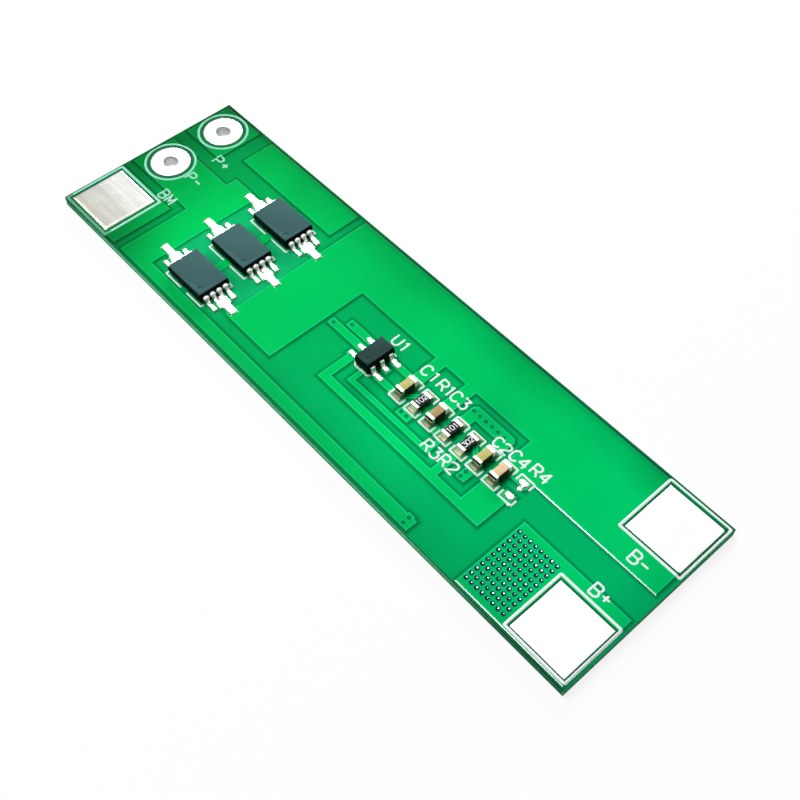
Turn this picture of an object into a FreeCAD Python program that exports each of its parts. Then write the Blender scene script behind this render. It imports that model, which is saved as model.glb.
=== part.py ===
# Battery protection board for two cells in series: a printed circuit strip with weld pads at its
# ends, three dual power transistors, a protection chip and a row of chip capacitors and resistors.
# Millimetres. The origin is the middle of the underside, +X points to the end with the B+ and B-
# weld pads, +Y to the edge that B- and P+ lie on, and +Z is up, out of the side with the parts.
import FreeCAD, Part
import Sketcher
import os

doc = FreeCAD.newDocument("battery_protection_board")

# The driving dimensions, one row of the sheet each
SIZES = [
    ("board_length", 60.0, "the laminate along X"),
    ("board_width", 18.0, "the laminate along Y"),
    ("board_thickness", 1.0, "over both coats of solder mask"),
    ("foil", 0.07, "copper, two ounces to the square foot"),
    ("mask_cover", 0.03, "solder mask over flat ground"),
    ("mask_side", 0.05, "solder mask on the side of a copper edge"),
    ("edge_margin", 0.4, "bare laminate between a pour and the board's edge"),
    ("lower_margin", 0.27, "the same at the lower long edge"),
    ("tin", 0.05, "solder on a pad, above the copper"),
    ("pad_side", 5.1, "square weld pad"),
    ("b_minus_inset", 3.0, "weld pad B-, centre from the board's end"),
    ("b_minus_inset_y", 3.2, "weld pad B-, centre from the upper long edge"),
    ("b_plus_inset", 3.115, "weld pad B+, centre from the board's end"),
    ("b_plus_inset_y", 3.13, "weld pad B+, centre from the lower long edge"),
    ("bm_inset", 3.12, "weld pad BM, centre from the board's end"),
    ("bm_inset_y", 3.0, "weld pad BM, centre from the lower long edge"),
    ("terminal_inset", 2.6, "round terminals, centre from the board's end"),
    ("p_plus_inset_y", 2.67, "round terminal P+, centre from the upper long edge"),
    ("p_minus_y", 0.45, "round terminal P-, centre"),
    ("terminal_land", 3.6, "diameter of a round terminal's land"),
    ("terminal_hole", 1.2, "diameter of the plated hole"),
    ("plating", 0.20, "copper and solder on the wall of a plated hole"),
    ("crown", 0.1, "height of the solder on a round terminal above the mask"),
    ("crown_slope", 0.3, "width of the solder's sloping rim"),
    ("pour_gap", 0.78, "left edge of the B- pour from the transistors' lands"),
    ("pour_foot", 2.63, "lowest edge of the B- pour from the lower long edge"),
    ("pour_inset", 0.55, "right edge of the B- pour from the board's end"),
    ("window_left", 5.85, "window in the B- pour round the chip, left edge from the chip"),
    ("window_top", 3.4, "window in the B- pour, upper edge"),
    ("pour_rise", 1.35, "straight lower edge of the B- pour above the chip row's middle"),
    ("finger", 1.02, "width of the copper fingers that reach C1 and C3"),
    ("finger_shift", 0.13, "fingers are this far left of their chip part"),
    ("b_plus_length", 10.5, "left edge of the B+ pour from the board's end"),
    ("b_plus_width", 7.0, "upper edge of the B+ pour from the lower long edge"),
    ("p_land_length", 5.0, "right edge of the P+ land's copper from the board's end"),
    ("p_land_width", 5.0, "lower edge of the P+ land's copper from the upper long edge"),
    ("upper_left", 4.98, "left edge of the upper pour, left of the transistors' lands"),
    ("upper_right", 0.32, "right edge of the upper pour, inside the transistors' lands"),
    ("upper_rise", 2.44, "lower edge of the upper pour above the first transistor's middle"),
    ("p_minus_step", 2.95, "from the P- pour's right edge to where it widens"),
    ("p_minus_gap", 0.63, "right edge of the P- pour from the transistors' lands"),
    ("p_minus_top", 0.39, "upper edge of the P- pour above the first transistor's middle"),
    ("p_minus_reach", 1.9, "half width above the terminal of the P- pour's arm"),
    ("arm_gap", 1.2, "lower edge of the P- pour's arm above the BM pour"),
    ("strip_top", 1.2, "upper edge of the P- pour's long strip from the lower long edge"),
    ("strip_end", 0.495, "right end of that strip, right of C2"),
    ("bm_length", 7.25, "right edge of the BM pour from the board's end"),
    ("bm_width", 5.95, "upper edge of the BM pour from the lower long edge"),
    ("q_inset", 15.5, "middle of the power transistors from the board's end"),
    ("q_first_y", 3.06, "middle of the upper transistor along Y"),
    ("q_pitch", 4.455, "from one transistor to the next"),
    ("q_body_x", 4.4, "transistor case from lead side to lead side"),
    ("q_body_y", 3.0, "transistor case along its row of leads"),
    ("q_body_z", 0.9, "height of the transistor's case"),
    ("q_span", 6.4, "transistor over its leads"),
    ("q_foot", 0.55, "flat foot of a transistor lead"),
    ("q_lead_width", 0.30, "transistor lead"),
    ("q_lead_pitch", 0.65, "transistor lead to lead"),
    ("q_heel", 0.3, "land of a transistor lead, inside the heel of its foot"),
    ("q_toe", 0.42, "land of a transistor lead, past the end of its foot"),
    ("q_land_side", 0.08, "land of a transistor lead, past each side of the lead"),
    ("q_pair_side", 0.095, "land that two leads share, past each side of them"),
    ("q_tongue", 0.36, "half width of the solder tongue that runs onto the pour"),
    ("q_tongue_right", 1.23, "right-hand tongue past its land"),
    ("q_tongue_left", 1.48, "left-hand tongue past its land"),
    ("strip_half", 0.35, "half width of the drain strip between the transistors"),
    ("u_x", 1.35, "middle of the chip along X"),
    ("u_y", -0.42, "middle of the chip along Y"),
    ("u_body_x", 1.6, "chip case from lead side to lead side"),
    ("u_body_y", 2.9, "chip case along its row of leads"),
    ("u_body_z", 1.05, "height of the chip's case"),
    ("u_span", 2.8, "chip over its leads"),
    ("u_foot", 0.36, "flat foot of a chip lead"),
    ("u_lead_width", 0.4, "chip lead"),
    ("u_lead_pitch", 0.95, "chip lead to lead"),
    ("u_heel", 0.09, "land of a chip lead, inside the heel of its foot"),
    ("u_toe", 0.6, "land of a chip lead, past the end of its foot"),
    ("u_short_toe", 0.25, "the same for the land that no track reaches"),
    ("u_land_side", 0.03, "land of a chip lead, past each side of the lead"),
    ("lead_gauge", 0.15, "thickness of the lead frame"),
    ("lead_root", 0.3, "length of lead inside the case"),
    ("lead_shoulder", 0.12, "level stretch of a lead outside its case"),
    ("lead_bend", 0.06, "cut of a lead's bends"),
    ("toe_climb", 0.1, "height that solder climbs on the end of a lead's foot"),
    ("standoff", 0.08, "gap between a case and the board"),
    ("draft_angle", 8.0, "draft of a moulded case, degrees"),
    ("dimple", 0.5, "diameter of the mark beside the first lead"),
    ("dimple_depth", 0.04, "depth of that mark"),
    ("dimple_inset", 0.55, "centre of that mark from two edges of the case"),
    ("chip_first", 3.8, "first part of the chip row, C1, from the chip"),
    ("chip_pitch", 1.715, "from one chip part to the next"),
    ("chip_y", -0.5, "middle of the chip row along Y"),
    ("chip_length", 1.6, "chip part along Y"),
    ("chip_width", 0.8, "chip part along X"),
    ("capacitor_height", 0.8, "chip capacitor"),
    ("resistor_height", 0.45, "chip resistor"),
    ("end_cap", 0.25, "metal end of a chip part"),
    ("cap_wall", 0.03, "thickness of that metal"),
    ("coat", 0.03, "black glass on a resistor"),
    ("chip_heel", 0.3, "land of a chip part, inside its end"),
    ("chip_toe", 0.42, "land of a chip part, past its end"),
    ("chip_side", 0.05, "land of a chip part, past each of its sides"),
    ("fillet_climb", 0.24, "height that solder climbs on the end of a chip part"),
    ("blob_length", 0.5, "solder on the two empty lands, along Y"),
    ("blob_half", 0.35, "half width of that solder"),
    ("track_left", 1.8, "wide control track, left edge left of the chip's middle"),
    ("track_width", 0.65, "wide control track"),
    ("track_foot", -4.7, "wide control track, lowest edge"),
    ("sense_width", 0.35, "narrow control track"),
    ("sense_left", 0.05, "narrow control track, left edge right of the chip's middle"),
    ("sense_foot", -3.25, "narrow control track, lowest edge"),
    ("gate_width", 0.6, "tracks to the two gate vias"),
    ("gate_via_near", 3.85, "upper gate via, left of the chip's middle"),
    ("gate_via_far", 5.05, "lower gate via, left of the chip's middle"),
    ("link_width", 0.27, "slanting links in the chip row"),
    ("stub_width", 0.6, "copper from R2 down to the wide track"),
    ("thin_stub", 0.3, "copper from R3 down to the narrow track"),
    ("block_inset", 0.25, "right edge of the wide track's block from R4's land"),
    ("block_drop", 1.4, "upper edge of that block below the chip row's middle"),
    ("via_bar_foot", 1.55, "copper that carries the strip of vias, lower edge"),
    ("via_bar_top", 2.52, "copper that carries the strip of vias, upper edge"),
    ("bar_corner", 0.25, "cut corners of that copper"),
    ("patch_top", 1.45, "small via patches, upper edge below the chip row's middle"),
    ("patch_foot", 2.0, "via patch at R1, lower edge below the chip row's middle"),
    ("patch_drop", 2.42, "via patch at C2, lower edge below the chip row's middle"),
    ("patch_half", 0.62, "half length of the via patch at R1"),
    ("patch_shift", 0.09, "middle of that patch, left of R1"),
    ("patch_neck", 0.35, "width of the copper from R1 to that patch"),
    ("via_row", 1.68, "first vias below the chip row's middle"),
    ("via_shift", 0.16, "vias below the chip row, left of their part"),
    ("edge_via", 0.14, "vias at the strip's end, below its upper edge"),
    ("end_via", 0.6, "vias at the strip's end, from that end"),
    ("rim", 0.27, "copper round a via that stands on an edge, from its centre"),
    ("via", 0.3, "diameter of a via"),
    ("grid_columns", 8, "via grid along X"),
    ("grid_rows", 11, "via grid along Y"),
    ("grid_pitch_x", 0.526, "via grid"),
    ("grid_pitch_y", 0.535, "via grid"),
    ("grid_inset_x", 0.27, "first via from the left edge of the B+ pour"),
    ("grid_inset_y", 0.8, "first via from the upper edge of the B+ pour"),
    ("strip_vias", 6, "vias in the strip"),
    ("strip_inset", 0.25, "first via of the strip from the left edge of its copper"),
    ("strip_pitch", 0.65, "strip of vias"),
    ("single", 1, "a via that stands alone"),
    ("pair", 2, "vias that come in pairs"),
    ("pair_pitch", 0.57, "from one via of a pair to the other"),
    ("via_land", 0.3, "copper round a via on the underside, from its centre"),
    ("via_gap", 0.35, "bare laminate round that copper"),
]


class Size:
    """A length that knows its value and the expression that binds it to the sheet."""

    def __init__(self, text, number):
        self.text = text
        self.number = float(number)

    def join(self, sign, other, number):
        text = other.text if isinstance(other, Size) else repr(other)
        return Size(f"({self.text} {sign} {text})", number)

    def __add__(self, other):
        return self.join("+", other, self.number + number_of(other))

    def __sub__(self, other):
        return self.join("-", other, self.number - number_of(other))

    def __mul__(self, other):
        return self.join("*", other, self.number * number_of(other))

    def __truediv__(self, other):
        return self.join("/", other, self.number / number_of(other))

    def __neg__(self):
        return Size(f"(0 - {self.text})", -self.number)

    def root(self):
        return Size(f"sqrt({self.text})", self.number ** 0.5)


def number_of(length):
    return length.number if isinstance(length, Size) else float(length)


class Names:
    """The sheet's sizes by name, as in size.board_length."""


sheet = doc.addObject("Spreadsheet::Sheet", "sizes")
size = Names()
for row, (alias, value, note) in enumerate(SIZES, start=1):
    sheet.set(f"A{row}", alias)
    sheet.set(f"B{row}", str(value))
    sheet.setAlias(f"B{row}", alias)
    sheet.set(f"C{row}", note)
    setattr(size, alias, Size(f"sizes.{alias}", value))
doc.recompute()

# Levels, from the underside of the board up
LAMINATE_BASE = size.mask_cover + size.foil
LAMINATE_TOP = size.board_thickness - size.mask_cover - size.foil
COPPER_TOP = size.board_thickness - size.mask_cover
BOARD_TOP = size.board_thickness
SEAT = COPPER_TOP + size.tin
ZERO = size.foil * 0

# Places that several pieces share
HALF_LENGTH = size.board_length / 2
HALF_WIDTH = size.board_width / 2
POUR_TOP = HALF_WIDTH - size.edge_margin
POUR_FOOT = size.lower_margin - HALF_WIDTH
POUR_LEFT = size.edge_margin - HALF_LENGTH
POUR_RIGHT = HALF_LENGTH - size.pour_inset
B_PLUS_LEFT = HALF_LENGTH - size.b_plus_length
B_PLUS_TOP = size.b_plus_width - HALF_WIDTH
BM_TOP = size.bm_width - HALF_WIDTH
TERMINAL_X = size.terminal_inset - HALF_LENGTH

# Power transistors, from the upper edge down
Q_X = size.q_inset - HALF_LENGTH
Q_INNER = size.q_span / 2 - size.q_foot - size.q_heel
Q_OUTER = size.q_span / 2 + size.q_toe
Q_LAND = size.q_lead_width / 2 + size.q_land_side
Q_PAIR = (size.q_lead_pitch + size.q_lead_width) / 2 + size.q_pair_side
TRANSISTORS = {f"q{n + 1}": size.q_first_y - size.q_pitch * n for n in range(3)}
B_MINUS_LEFT = Q_X + Q_OUTER + size.pour_gap
P_MINUS_RIGHT = Q_X - Q_OUTER - size.p_minus_gap
P_MINUS_STEP = P_MINUS_RIGHT - size.p_minus_step

# The protection chip and the row of chip parts, from the left
U_INNER = size.u_span / 2 - size.u_foot - size.u_heel
U_LAND = size.u_lead_width / 2 + size.u_land_side
SPARE_LAND = (1, 1)
CHIPS = {name: size.u_x + size.chip_first + size.chip_pitch * n
         for n, name in enumerate(["c1", "r1", "c3", "r3", "r2", "c2", "c4", "r4"])}
CAPACITORS = ["c1", "c2", "c3", "c4"]
RESISTORS = ["r1", "r2", "r3"]
HALF_CHIP = size.chip_length / 2
CHIP_INNER = HALF_CHIP - size.chip_heel
CHIP_OUTER = HALF_CHIP + size.chip_toe
CHIP_LAND = size.chip_width / 2 + size.chip_side
STRIP_TOP = size.strip_top - HALF_WIDTH
STRIP_END = CHIPS["c2"] + size.strip_end


def bind(thing, **lengths):
    """Ties properties to the sheet; a double underscore in a name stands for a full stop."""
    for name, length in lengths.items():
        thing.setExpression(name.replace("__", "."), length.text)
    return thing


def place(thing, x, y, z):
    return bind(thing, Placement__Base__x=x, Placement__Base__y=y, Placement__Base__z=z)


def block(name, low, high):
    """A box between two corners."""
    box = doc.addObject("Part::Box", name)
    bind(box, Length=high[0] - low[0], Width=high[1] - low[1], Height=high[2] - low[2])
    return place(box, *low)


def rectangle(left, right, foot, top):
    return [(left, foot), (right, foot), (right, top), (left, top)]


def around(x, y, half_x, half_y):
    return rectangle(x - half_x, x + half_x, y - half_y, y + half_y)


def draw(drawing, outlines):
    """Closed outlines in a sketch, every corner held at its two distances from the origin."""
    for outline in outlines:
        first = drawing.GeometryCount
        corners = [FreeCAD.Vector(x.number, y.number, 0) for x, y in outline]
        count = len(corners)
        for n in range(count):
            drawing.addGeometry(Part.LineSegment(corners[n], corners[(n + 1) % count]), False)
        for n in range(count):
            after = first + (n + 1) % count
            drawing.addConstraint(Sketcher.Constraint("Coincident", first + n, 2, after, 1))
        for n, corner in enumerate(outline):
            for way, length in zip(("DistanceX", "DistanceY"), corner):
                held = Sketcher.Constraint(way, -1, 1, first + n, 1, length.number)
                index = drawing.addConstraint(held)
                drawing.setExpression(f"Constraints[{index}]", length.text)


def plate(name, outlines, base, top):
    """Flat outlines raised from one level to another."""
    drawing = doc.addObject("Sketcher::SketchObject", name + "_outline")
    draw(drawing, outlines)
    bind(drawing, Placement__Base__z=base)
    solid = doc.addObject("Part::Extrusion", name)
    solid.Base = drawing
    solid.DirMode = "Custom"
    solid.Dir = FreeCAD.Vector(0, 0, 1)
    solid.Solid = True
    return bind(solid, LengthFwd=top - base)


def ridge(name, outline, along, start, end):
    """A section raised along Y or X; it's drawn with the height as its second coordinate."""
    drawing = doc.addObject("Sketcher::SketchObject", name + "_section")
    draw(drawing, [outline])
    solid = doc.addObject("Part::Extrusion", name)
    solid.Base = drawing
    solid.DirMode = "Custom"
    solid.Solid = True
    if along == "Y":
        drawing.Placement.Rotation = FreeCAD.Rotation(FreeCAD.Vector(1, 0, 0), 90)
        bind(drawing, Placement__Base__y=start)
        solid.Dir = FreeCAD.Vector(0, 1, 0)
    else:
        drawing.Placement.Rotation = FreeCAD.Rotation(FreeCAD.Vector(1, 1, 1), 120)
        bind(drawing, Placement__Base__x=start)
        solid.Dir = FreeCAD.Vector(1, 0, 0)
    return bind(solid, LengthFwd=end - start)


def joined(name, things):
    """Several things as one."""
    if len(things) == 1:
        return things[0]
    fusion = doc.addObject("Part::MultiFuse", name)
    fusion.Shapes = things
    fusion.Refine = True
    return fusion


def together(name, things):
    """Several things as a group that stays apart."""
    group = doc.addObject("Part::Compound", name)
    group.Links = things
    return group


def less(name, thing, tools):
    """A thing with others cut out of it."""
    cut = doc.addObject("Part::Cut", name)
    cut.Base = thing
    cut.Tool = together(name + "_tools", tools) if len(tools) > 1 else tools[0]
    cut.Refine = True
    return cut


def body_sketch(body, name, role, outlines):
    """A sketch on one of a body's own planes."""
    plane = next(item for item in body.Origin.OriginFeatures if item.Role == role)
    drawing = body.newObject("Sketcher::SketchObject", name)
    drawing.AttachmentSupport = (plane, [""])
    drawing.MapMode = "FlatFace"
    draw(drawing, outlines)
    return drawing


def axis_of(body, role):
    return (next(item for item in body.Origin.OriginFeatures if item.Role == role), [""])


# Vias: each group is a plain pattern of short plugs. The mask closes every via on both sides, so
# a plug has only four sides, and it stands for the plated barrel with its filling


def via_outline():
    half = size.via / 2
    return [(half, ZERO), (ZERO, half), (-half, ZERO), (ZERO, -half)]


NEAR_VIA = size.u_x - size.gate_via_near
FAR_VIA = size.u_x - size.gate_via_far
SINGLE = (size.single, size.pair_pitch)
PAIR = (size.pair, size.pair_pitch)
VIA_GROUPS = {
    "grid": (B_PLUS_LEFT + size.grid_inset_x, B_PLUS_TOP - size.grid_inset_y,
             size.grid_columns, size.grid_pitch_x, size.grid_rows, size.grid_pitch_y),
    "strip": (CHIPS["r3"] - CHIP_LAND + size.strip_inset,
              (size.via_bar_foot + size.via_bar_top) / 2,
              size.strip_vias, size.strip_pitch, *SINGLE),
    "r1_pair": (CHIPS["r1"] - size.via_shift - size.pair_pitch / 2, size.chip_y - size.via_row,
                *PAIR, *SINGLE),
    "c2_pair": (CHIPS["c2"] - size.via_shift, size.chip_y - size.via_row, *SINGLE, *PAIR),
    "near_gate": (NEAR_VIA, size.u_y + size.u_lead_pitch, *SINGLE, *SINGLE),
    "far_gate": (FAR_VIA, size.u_y, *SINGLE, *SINGLE),
    "strip_end": (STRIP_END - size.end_via, STRIP_TOP - size.edge_via, *SINGLE, *PAIR),
}


def reach(many, step):
    """From the first of a row to its last, or one step where it has only one."""
    return step * (many - 1) if many.number > 1 else step


def group_frame(key, margin):
    """Left, right, foot and top of a group of vias with a margin round it."""
    x, y, columns, step_x, rows, step_y = VIA_GROUPS[key]
    return (x - margin, x + step_x * (columns - 1) + margin,
            y - step_y * (rows - 1) - margin, y + margin)


def via_group(name, key):
    """One group of vias, from the copper underneath to the copper on top."""
    x, y, columns, step_x, rows, step_y = VIA_GROUPS[key]
    body = doc.addObject("PartDesign::Body", name)
    body.AllowCompound = True
    pad = body.newObject("PartDesign::Pad", name + "_first")
    pad.Profile = body_sketch(body, name + "_outline", "XY_Plane", [via_outline()])
    bind(pad, Length=LAMINATE_TOP - LAMINATE_BASE)
    place(body, x, y, LAMINATE_BASE)
    if columns.number * rows.number > 1:
        pattern = body.newObject("PartDesign::LinearPattern", name + "_pattern")
        pattern.Originals = [pad]
        pattern.Direction = axis_of(body, "X_Axis")
        pattern.Direction2 = axis_of(body, "Y_Axis")
        pattern.Reversed2 = True
        pattern.Mode = "Extent"
        pattern.Mode2 = "Extent"
        bind(pattern, Occurrences=columns, Length=reach(columns, step_x),
             Occurrences2=rows, Length2=reach(rows, step_y))
        body.Tip = pattern
    return body


via_barrels = together("via_barrels", [via_group("vias_" + key, key) for key in VIA_GROUPS])

# Round terminals: land, barrel and land turned as one piece, with solder crowned on the upper land
TERMINALS = {"p_plus": HALF_WIDTH - size.p_plus_inset_y, "p_minus": size.p_minus_y}
HOLE = size.terminal_hole / 2
BARREL = HOLE + size.plating
LAND = size.terminal_land / 2


def terminal(name, y):
    body = doc.addObject("PartDesign::Body", name)
    crown_top = BOARD_TOP + size.crown
    profile = [
        (HOLE, ZERO), (LAND, ZERO), (LAND, LAMINATE_BASE), (BARREL, LAMINATE_BASE),
        (BARREL, LAMINATE_TOP), (LAND, LAMINATE_TOP), (LAND, BOARD_TOP),
        (LAND - size.crown_slope / 2, BOARD_TOP + size.crown * 0.75),
        (LAND - size.crown_slope, crown_top), (HOLE + size.crown_slope, crown_top),
        (HOLE, BOARD_TOP + size.crown * 0.5),
    ]
    turned = body.newObject("PartDesign::Revolution", name + "_turned")
    turned.Profile = body_sketch(body, name + "_section", "XZ_Plane", [profile])
    turned.ReferenceAxis = axis_of(body, "Z_Axis")
    turned.Angle = 360.0
    return place(body, TERMINAL_X, y, ZERO)


def drill(name, y, radius, base, top):
    """A round hole's tool on a terminal's axis."""
    tool = doc.addObject("Part::Cylinder", name)
    bind(tool, Radius=radius, Height=top - base)
    return place(tool, TERMINAL_X, y, base)


terminals = {name: terminal(name + "_terminal", y) for name, y in TERMINALS.items()}

# Etched copper on the upper side, one outline or more for each net
WINDOW_LEFT = size.u_x - size.window_left
WINDOW_RIGHT = CHIPS["c4"] - CHIP_LAND
B_MINUS_FOOT = size.pour_foot - HALF_WIDTH
POUR_EDGE = size.chip_y + size.pour_rise
LAND_TIP = size.chip_y + CHIP_INNER
LAND_TOE = size.chip_y + CHIP_OUTER
FOOT_TIP = size.chip_y - CHIP_INNER
FOOT_TOE = size.chip_y - CHIP_OUTER
ARM_TOP = size.u_y + size.u_lead_pitch + U_LAND
ARM_FOOT = ARM_TOP - U_LAND * 2
ARM_LEFT = size.u_x + U_INNER


def neck(side, y, pour):
    """The corners of the copper that joins a transistor's shared land to a pour, from above."""
    inner = Q_X + Q_INNER * side
    outer = Q_X + Q_OUTER * side
    wide, slim = Q_PAIR, size.q_tongue
    return [(pour, y + slim), (outer, y + slim), (outer, y + wide), (inner, y + wide),
            (inner, y - wide), (outer, y - wide), (outer, y - slim), (pour, y - slim)]


def finger_edges(chip):
    left = CHIPS[chip] - size.finger_shift - size.finger / 2
    return left, left + size.finger


def b_minus_outline():
    c1_left, c1_right = finger_edges("c1")
    c3_left, c3_right = finger_edges("c3")
    r4_right = CHIPS["r4"] + CHIP_LAND
    outline = [(B_MINUS_LEFT, POUR_TOP)]
    for y in TRANSISTORS.values():
        outline += neck(1, y, B_MINUS_LEFT)
    outline += [
        (B_MINUS_LEFT, B_MINUS_FOOT), (WINDOW_LEFT, B_MINUS_FOOT),
        (WINDOW_LEFT, size.window_top), (c1_left, size.window_top), (c1_left, ARM_TOP),
        (ARM_LEFT, ARM_TOP), (ARM_LEFT, ARM_FOOT), (c1_left, ARM_FOOT), (c1_left, LAND_TIP),
        (c1_right, LAND_TIP), (c1_right, size.window_top), (c3_left, size.window_top),
        (c3_left, LAND_TIP), (c3_right, LAND_TIP), (c3_right, size.window_top),
        (WINDOW_RIGHT, size.window_top), (WINDOW_RIGHT, LAND_TIP), (r4_right, LAND_TIP),
        (r4_right, POUR_EDGE), (POUR_RIGHT, POUR_EDGE), (POUR_RIGHT, POUR_TOP),
    ]
    return outline


def p_minus_outline():
    arm_top = size.p_minus_y + size.p_minus_reach
    arm_foot = BM_TOP + size.arm_gap
    top = TRANSISTORS["q1"] + size.p_minus_top
    outline = [(POUR_LEFT, arm_foot), (POUR_LEFT, arm_top), (P_MINUS_STEP, arm_top),
               (P_MINUS_STEP, top), (P_MINUS_RIGHT, top)]
    for y in TRANSISTORS.values():
        outline += neck(-1, y, P_MINUS_RIGHT)
    outline += [(P_MINUS_RIGHT, STRIP_TOP), (STRIP_END, STRIP_TOP),
                (STRIP_END, POUR_FOOT), (P_MINUS_STEP, POUR_FOOT),
                (P_MINUS_STEP, arm_foot)]
    return outline


def upper_land(chip):
    return rectangle(CHIPS[chip] - CHIP_LAND, CHIPS[chip] + CHIP_LAND,
                     LAND_TIP, LAND_TOE)


def lower_land(chip):
    return rectangle(CHIPS[chip] - CHIP_LAND, CHIPS[chip] + CHIP_LAND,
                     FOOT_TOE, FOOT_TIP)


def u_outer(side, lead):
    """The outer end of a chip land from the chip's middle."""
    toe = size.u_short_toe if (side, lead) == SPARE_LAND else size.u_toe
    return size.u_span / 2 + toe


def u_land(side, lead):
    """A land of the protection chip; lead counts down from its upper row."""
    y = size.u_y + size.u_lead_pitch * (1 - lead)
    ends = [size.u_x + U_INNER * side, size.u_x + u_outer(side, lead) * side]
    return rectangle(*(ends if side > 0 else reversed(ends)), y - U_LAND, y + U_LAND)


def slant(start, end, rising):
    """A slanting link at about 45 degrees between two points."""
    reach = size.link_width / 8 ** 0.5
    drop = -reach if rising else reach
    return [(start[0] - reach, start[1] - drop), (start[0] + reach, start[1] + drop),
            (end[0] + reach, end[1] + drop), (end[0] - reach, end[1] - drop)]


SKETCHES = []


def copper(name, *outlines):
    """Etched copper on the upper side; outlines that overlap become one piece."""
    plates = [plate(f"{name}_{n}", [outline], LAMINATE_TOP, COPPER_TOP)
              for n, outline in enumerate(outlines)]
    SKETCHES.extend(item.Base for item in plates)
    return joined(name, plates)


def gate_line(name, via_x, lead):
    land = u_land(-1, lead)
    y = size.u_y + size.u_lead_pitch * (1 - lead)
    half = size.gate_width / 2
    return copper(name, rectangle(via_x - half, land[1][0], y - half, y + half))


def wide_track():
    land = u_land(-1, 2)
    left = size.u_x - size.track_left
    right = left + size.track_width
    run_top = size.track_foot + size.track_width
    block_left = CHIPS["c4"] - CHIP_LAND
    block_right = CHIPS["r4"] + CHIP_LAND - size.block_inset
    block_top = size.chip_y - size.block_drop
    stub = rectangle(CHIPS["r2"] - size.stub_width / 2, CHIPS["r2"] + size.stub_width / 2,
                     run_top - size.foil, FOOT_TOE + size.foil)
    run = [(left, land[2][1]), (left, size.track_foot),
           (block_right, size.track_foot), (block_right, block_top), (block_left, block_top),
           (block_left, run_top), (right, run_top), (right, land[2][1])]
    c4_foot = rectangle(block_left, CHIPS["c4"] + CHIP_LAND, block_top - size.rim,
                        FOOT_TIP)
    r4_foot = rectangle(CHIPS["r4"] - CHIP_LAND, block_right, block_top - size.rim,
                        FOOT_TIP)
    return copper("wide_track", land, run, stub, lower_land("r2"), lower_land("r4"), r4_foot,
                  c4_foot)


def narrow_track():
    left = size.u_x + size.sense_left
    top = size.sense_foot + size.sense_width
    stub_right = CHIPS["r3"] + size.thin_stub / 2
    fall = rectangle(left, left + size.sense_width, size.sense_foot, size.u_y)
    run = rectangle(left, stub_right, size.sense_foot, top)
    stub = rectangle(stub_right - size.thin_stub, stub_right, size.sense_foot, FOOT_TIP)
    lands = rectangle(CHIPS["c3"] - CHIP_LAND, CHIPS["r3"] + CHIP_LAND,
                      FOOT_TOE, FOOT_TIP)
    return copper("narrow_track", fall, run, stub, lands)


def supply_track():
    land = u_land(1, 2)
    reach = rectangle(land[0][0], CHIPS["c1"], land[0][1], land[2][1])
    start = (CHIPS["c1"] + CHIP_LAND / 2, FOOT_TIP - size.rim / 2)
    end = (CHIPS["r1"] - CHIP_LAND / 2, LAND_TIP + size.rim / 2)
    return copper("supply_track", reach, lower_land("c1"), slant(start, end, True),
                  upper_land("r1"))


def tap_link():
    start = (CHIPS["r2"] + CHIP_LAND / 2, LAND_TIP + size.rim / 2)
    end = (CHIPS["c2"] - CHIP_LAND / 2, FOOT_TIP - size.rim / 2)
    patch = rectangle(CHIPS["c2"] - size.sense_width, CHIPS["c2"] + size.sense_width,
                      size.chip_y - size.patch_drop, FOOT_TIP)
    return copper("tap_link", upper_land("r2"), slant(start, end, False), lower_land("c2"), patch)


def via_bar():
    left, right = CHIPS["r3"] - CHIP_LAND, CHIPS["c2"] + CHIP_LAND
    inner_left, inner_right = left + CHIP_LAND * 2, right - CHIP_LAND * 2
    cut = size.bar_corner
    return copper("via_bar", [
        (left, LAND_TIP), (inner_left, LAND_TIP), (inner_left, size.via_bar_foot),
        (inner_right, size.via_bar_foot), (inner_right, LAND_TIP), (right, LAND_TIP),
        (right, size.via_bar_top - cut), (right - cut, size.via_bar_top),
        (left + cut, size.via_bar_top), (left, size.via_bar_top - cut)])


def r1_feed():
    middle = CHIPS["r1"] - size.patch_shift
    patch = rectangle(middle - size.patch_half, middle + size.patch_half,
                      size.chip_y - size.patch_foot, size.chip_y - size.patch_top)
    neck_half = size.patch_neck / 2
    throat = rectangle(CHIPS["r1"] - neck_half, CHIPS["r1"] + neck_half,
                       size.chip_y - size.patch_foot, FOOT_TIP)
    return copper("r1_feed", lower_land("r1"), throat, patch)


def outer_lands(y):
    """The four single lands of a power transistor: left and right, upper and lower."""
    lands = []
    for side in (-1, 1):
        ends = [Q_X + Q_INNER * side, Q_X + Q_OUTER * side]
        left, right = ends if side > 0 else reversed(ends)
        for row in (-1, 1):
            middle = y + size.q_lead_pitch * 1.5 * row
            lands.append(rectangle(left, right, middle - Q_LAND,
                                   middle + Q_LAND))
    return lands


def shared_solder(side, y, tongue):
    """The solder on the land that two leads share, with its tongue on the pour."""
    inner = Q_X + Q_INNER * side
    outer = Q_X + Q_OUTER * side
    slope = outer + size.foil * 3 * side
    tip = outer + tongue * side
    wide, slim = Q_PAIR, size.q_tongue
    return [(inner, y - wide), (outer, y - wide), (slope, y - slim), (tip, y - slim),
            (tip, y + slim), (slope, y + slim), (outer, y + wide), (inner, y + wide)]


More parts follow.
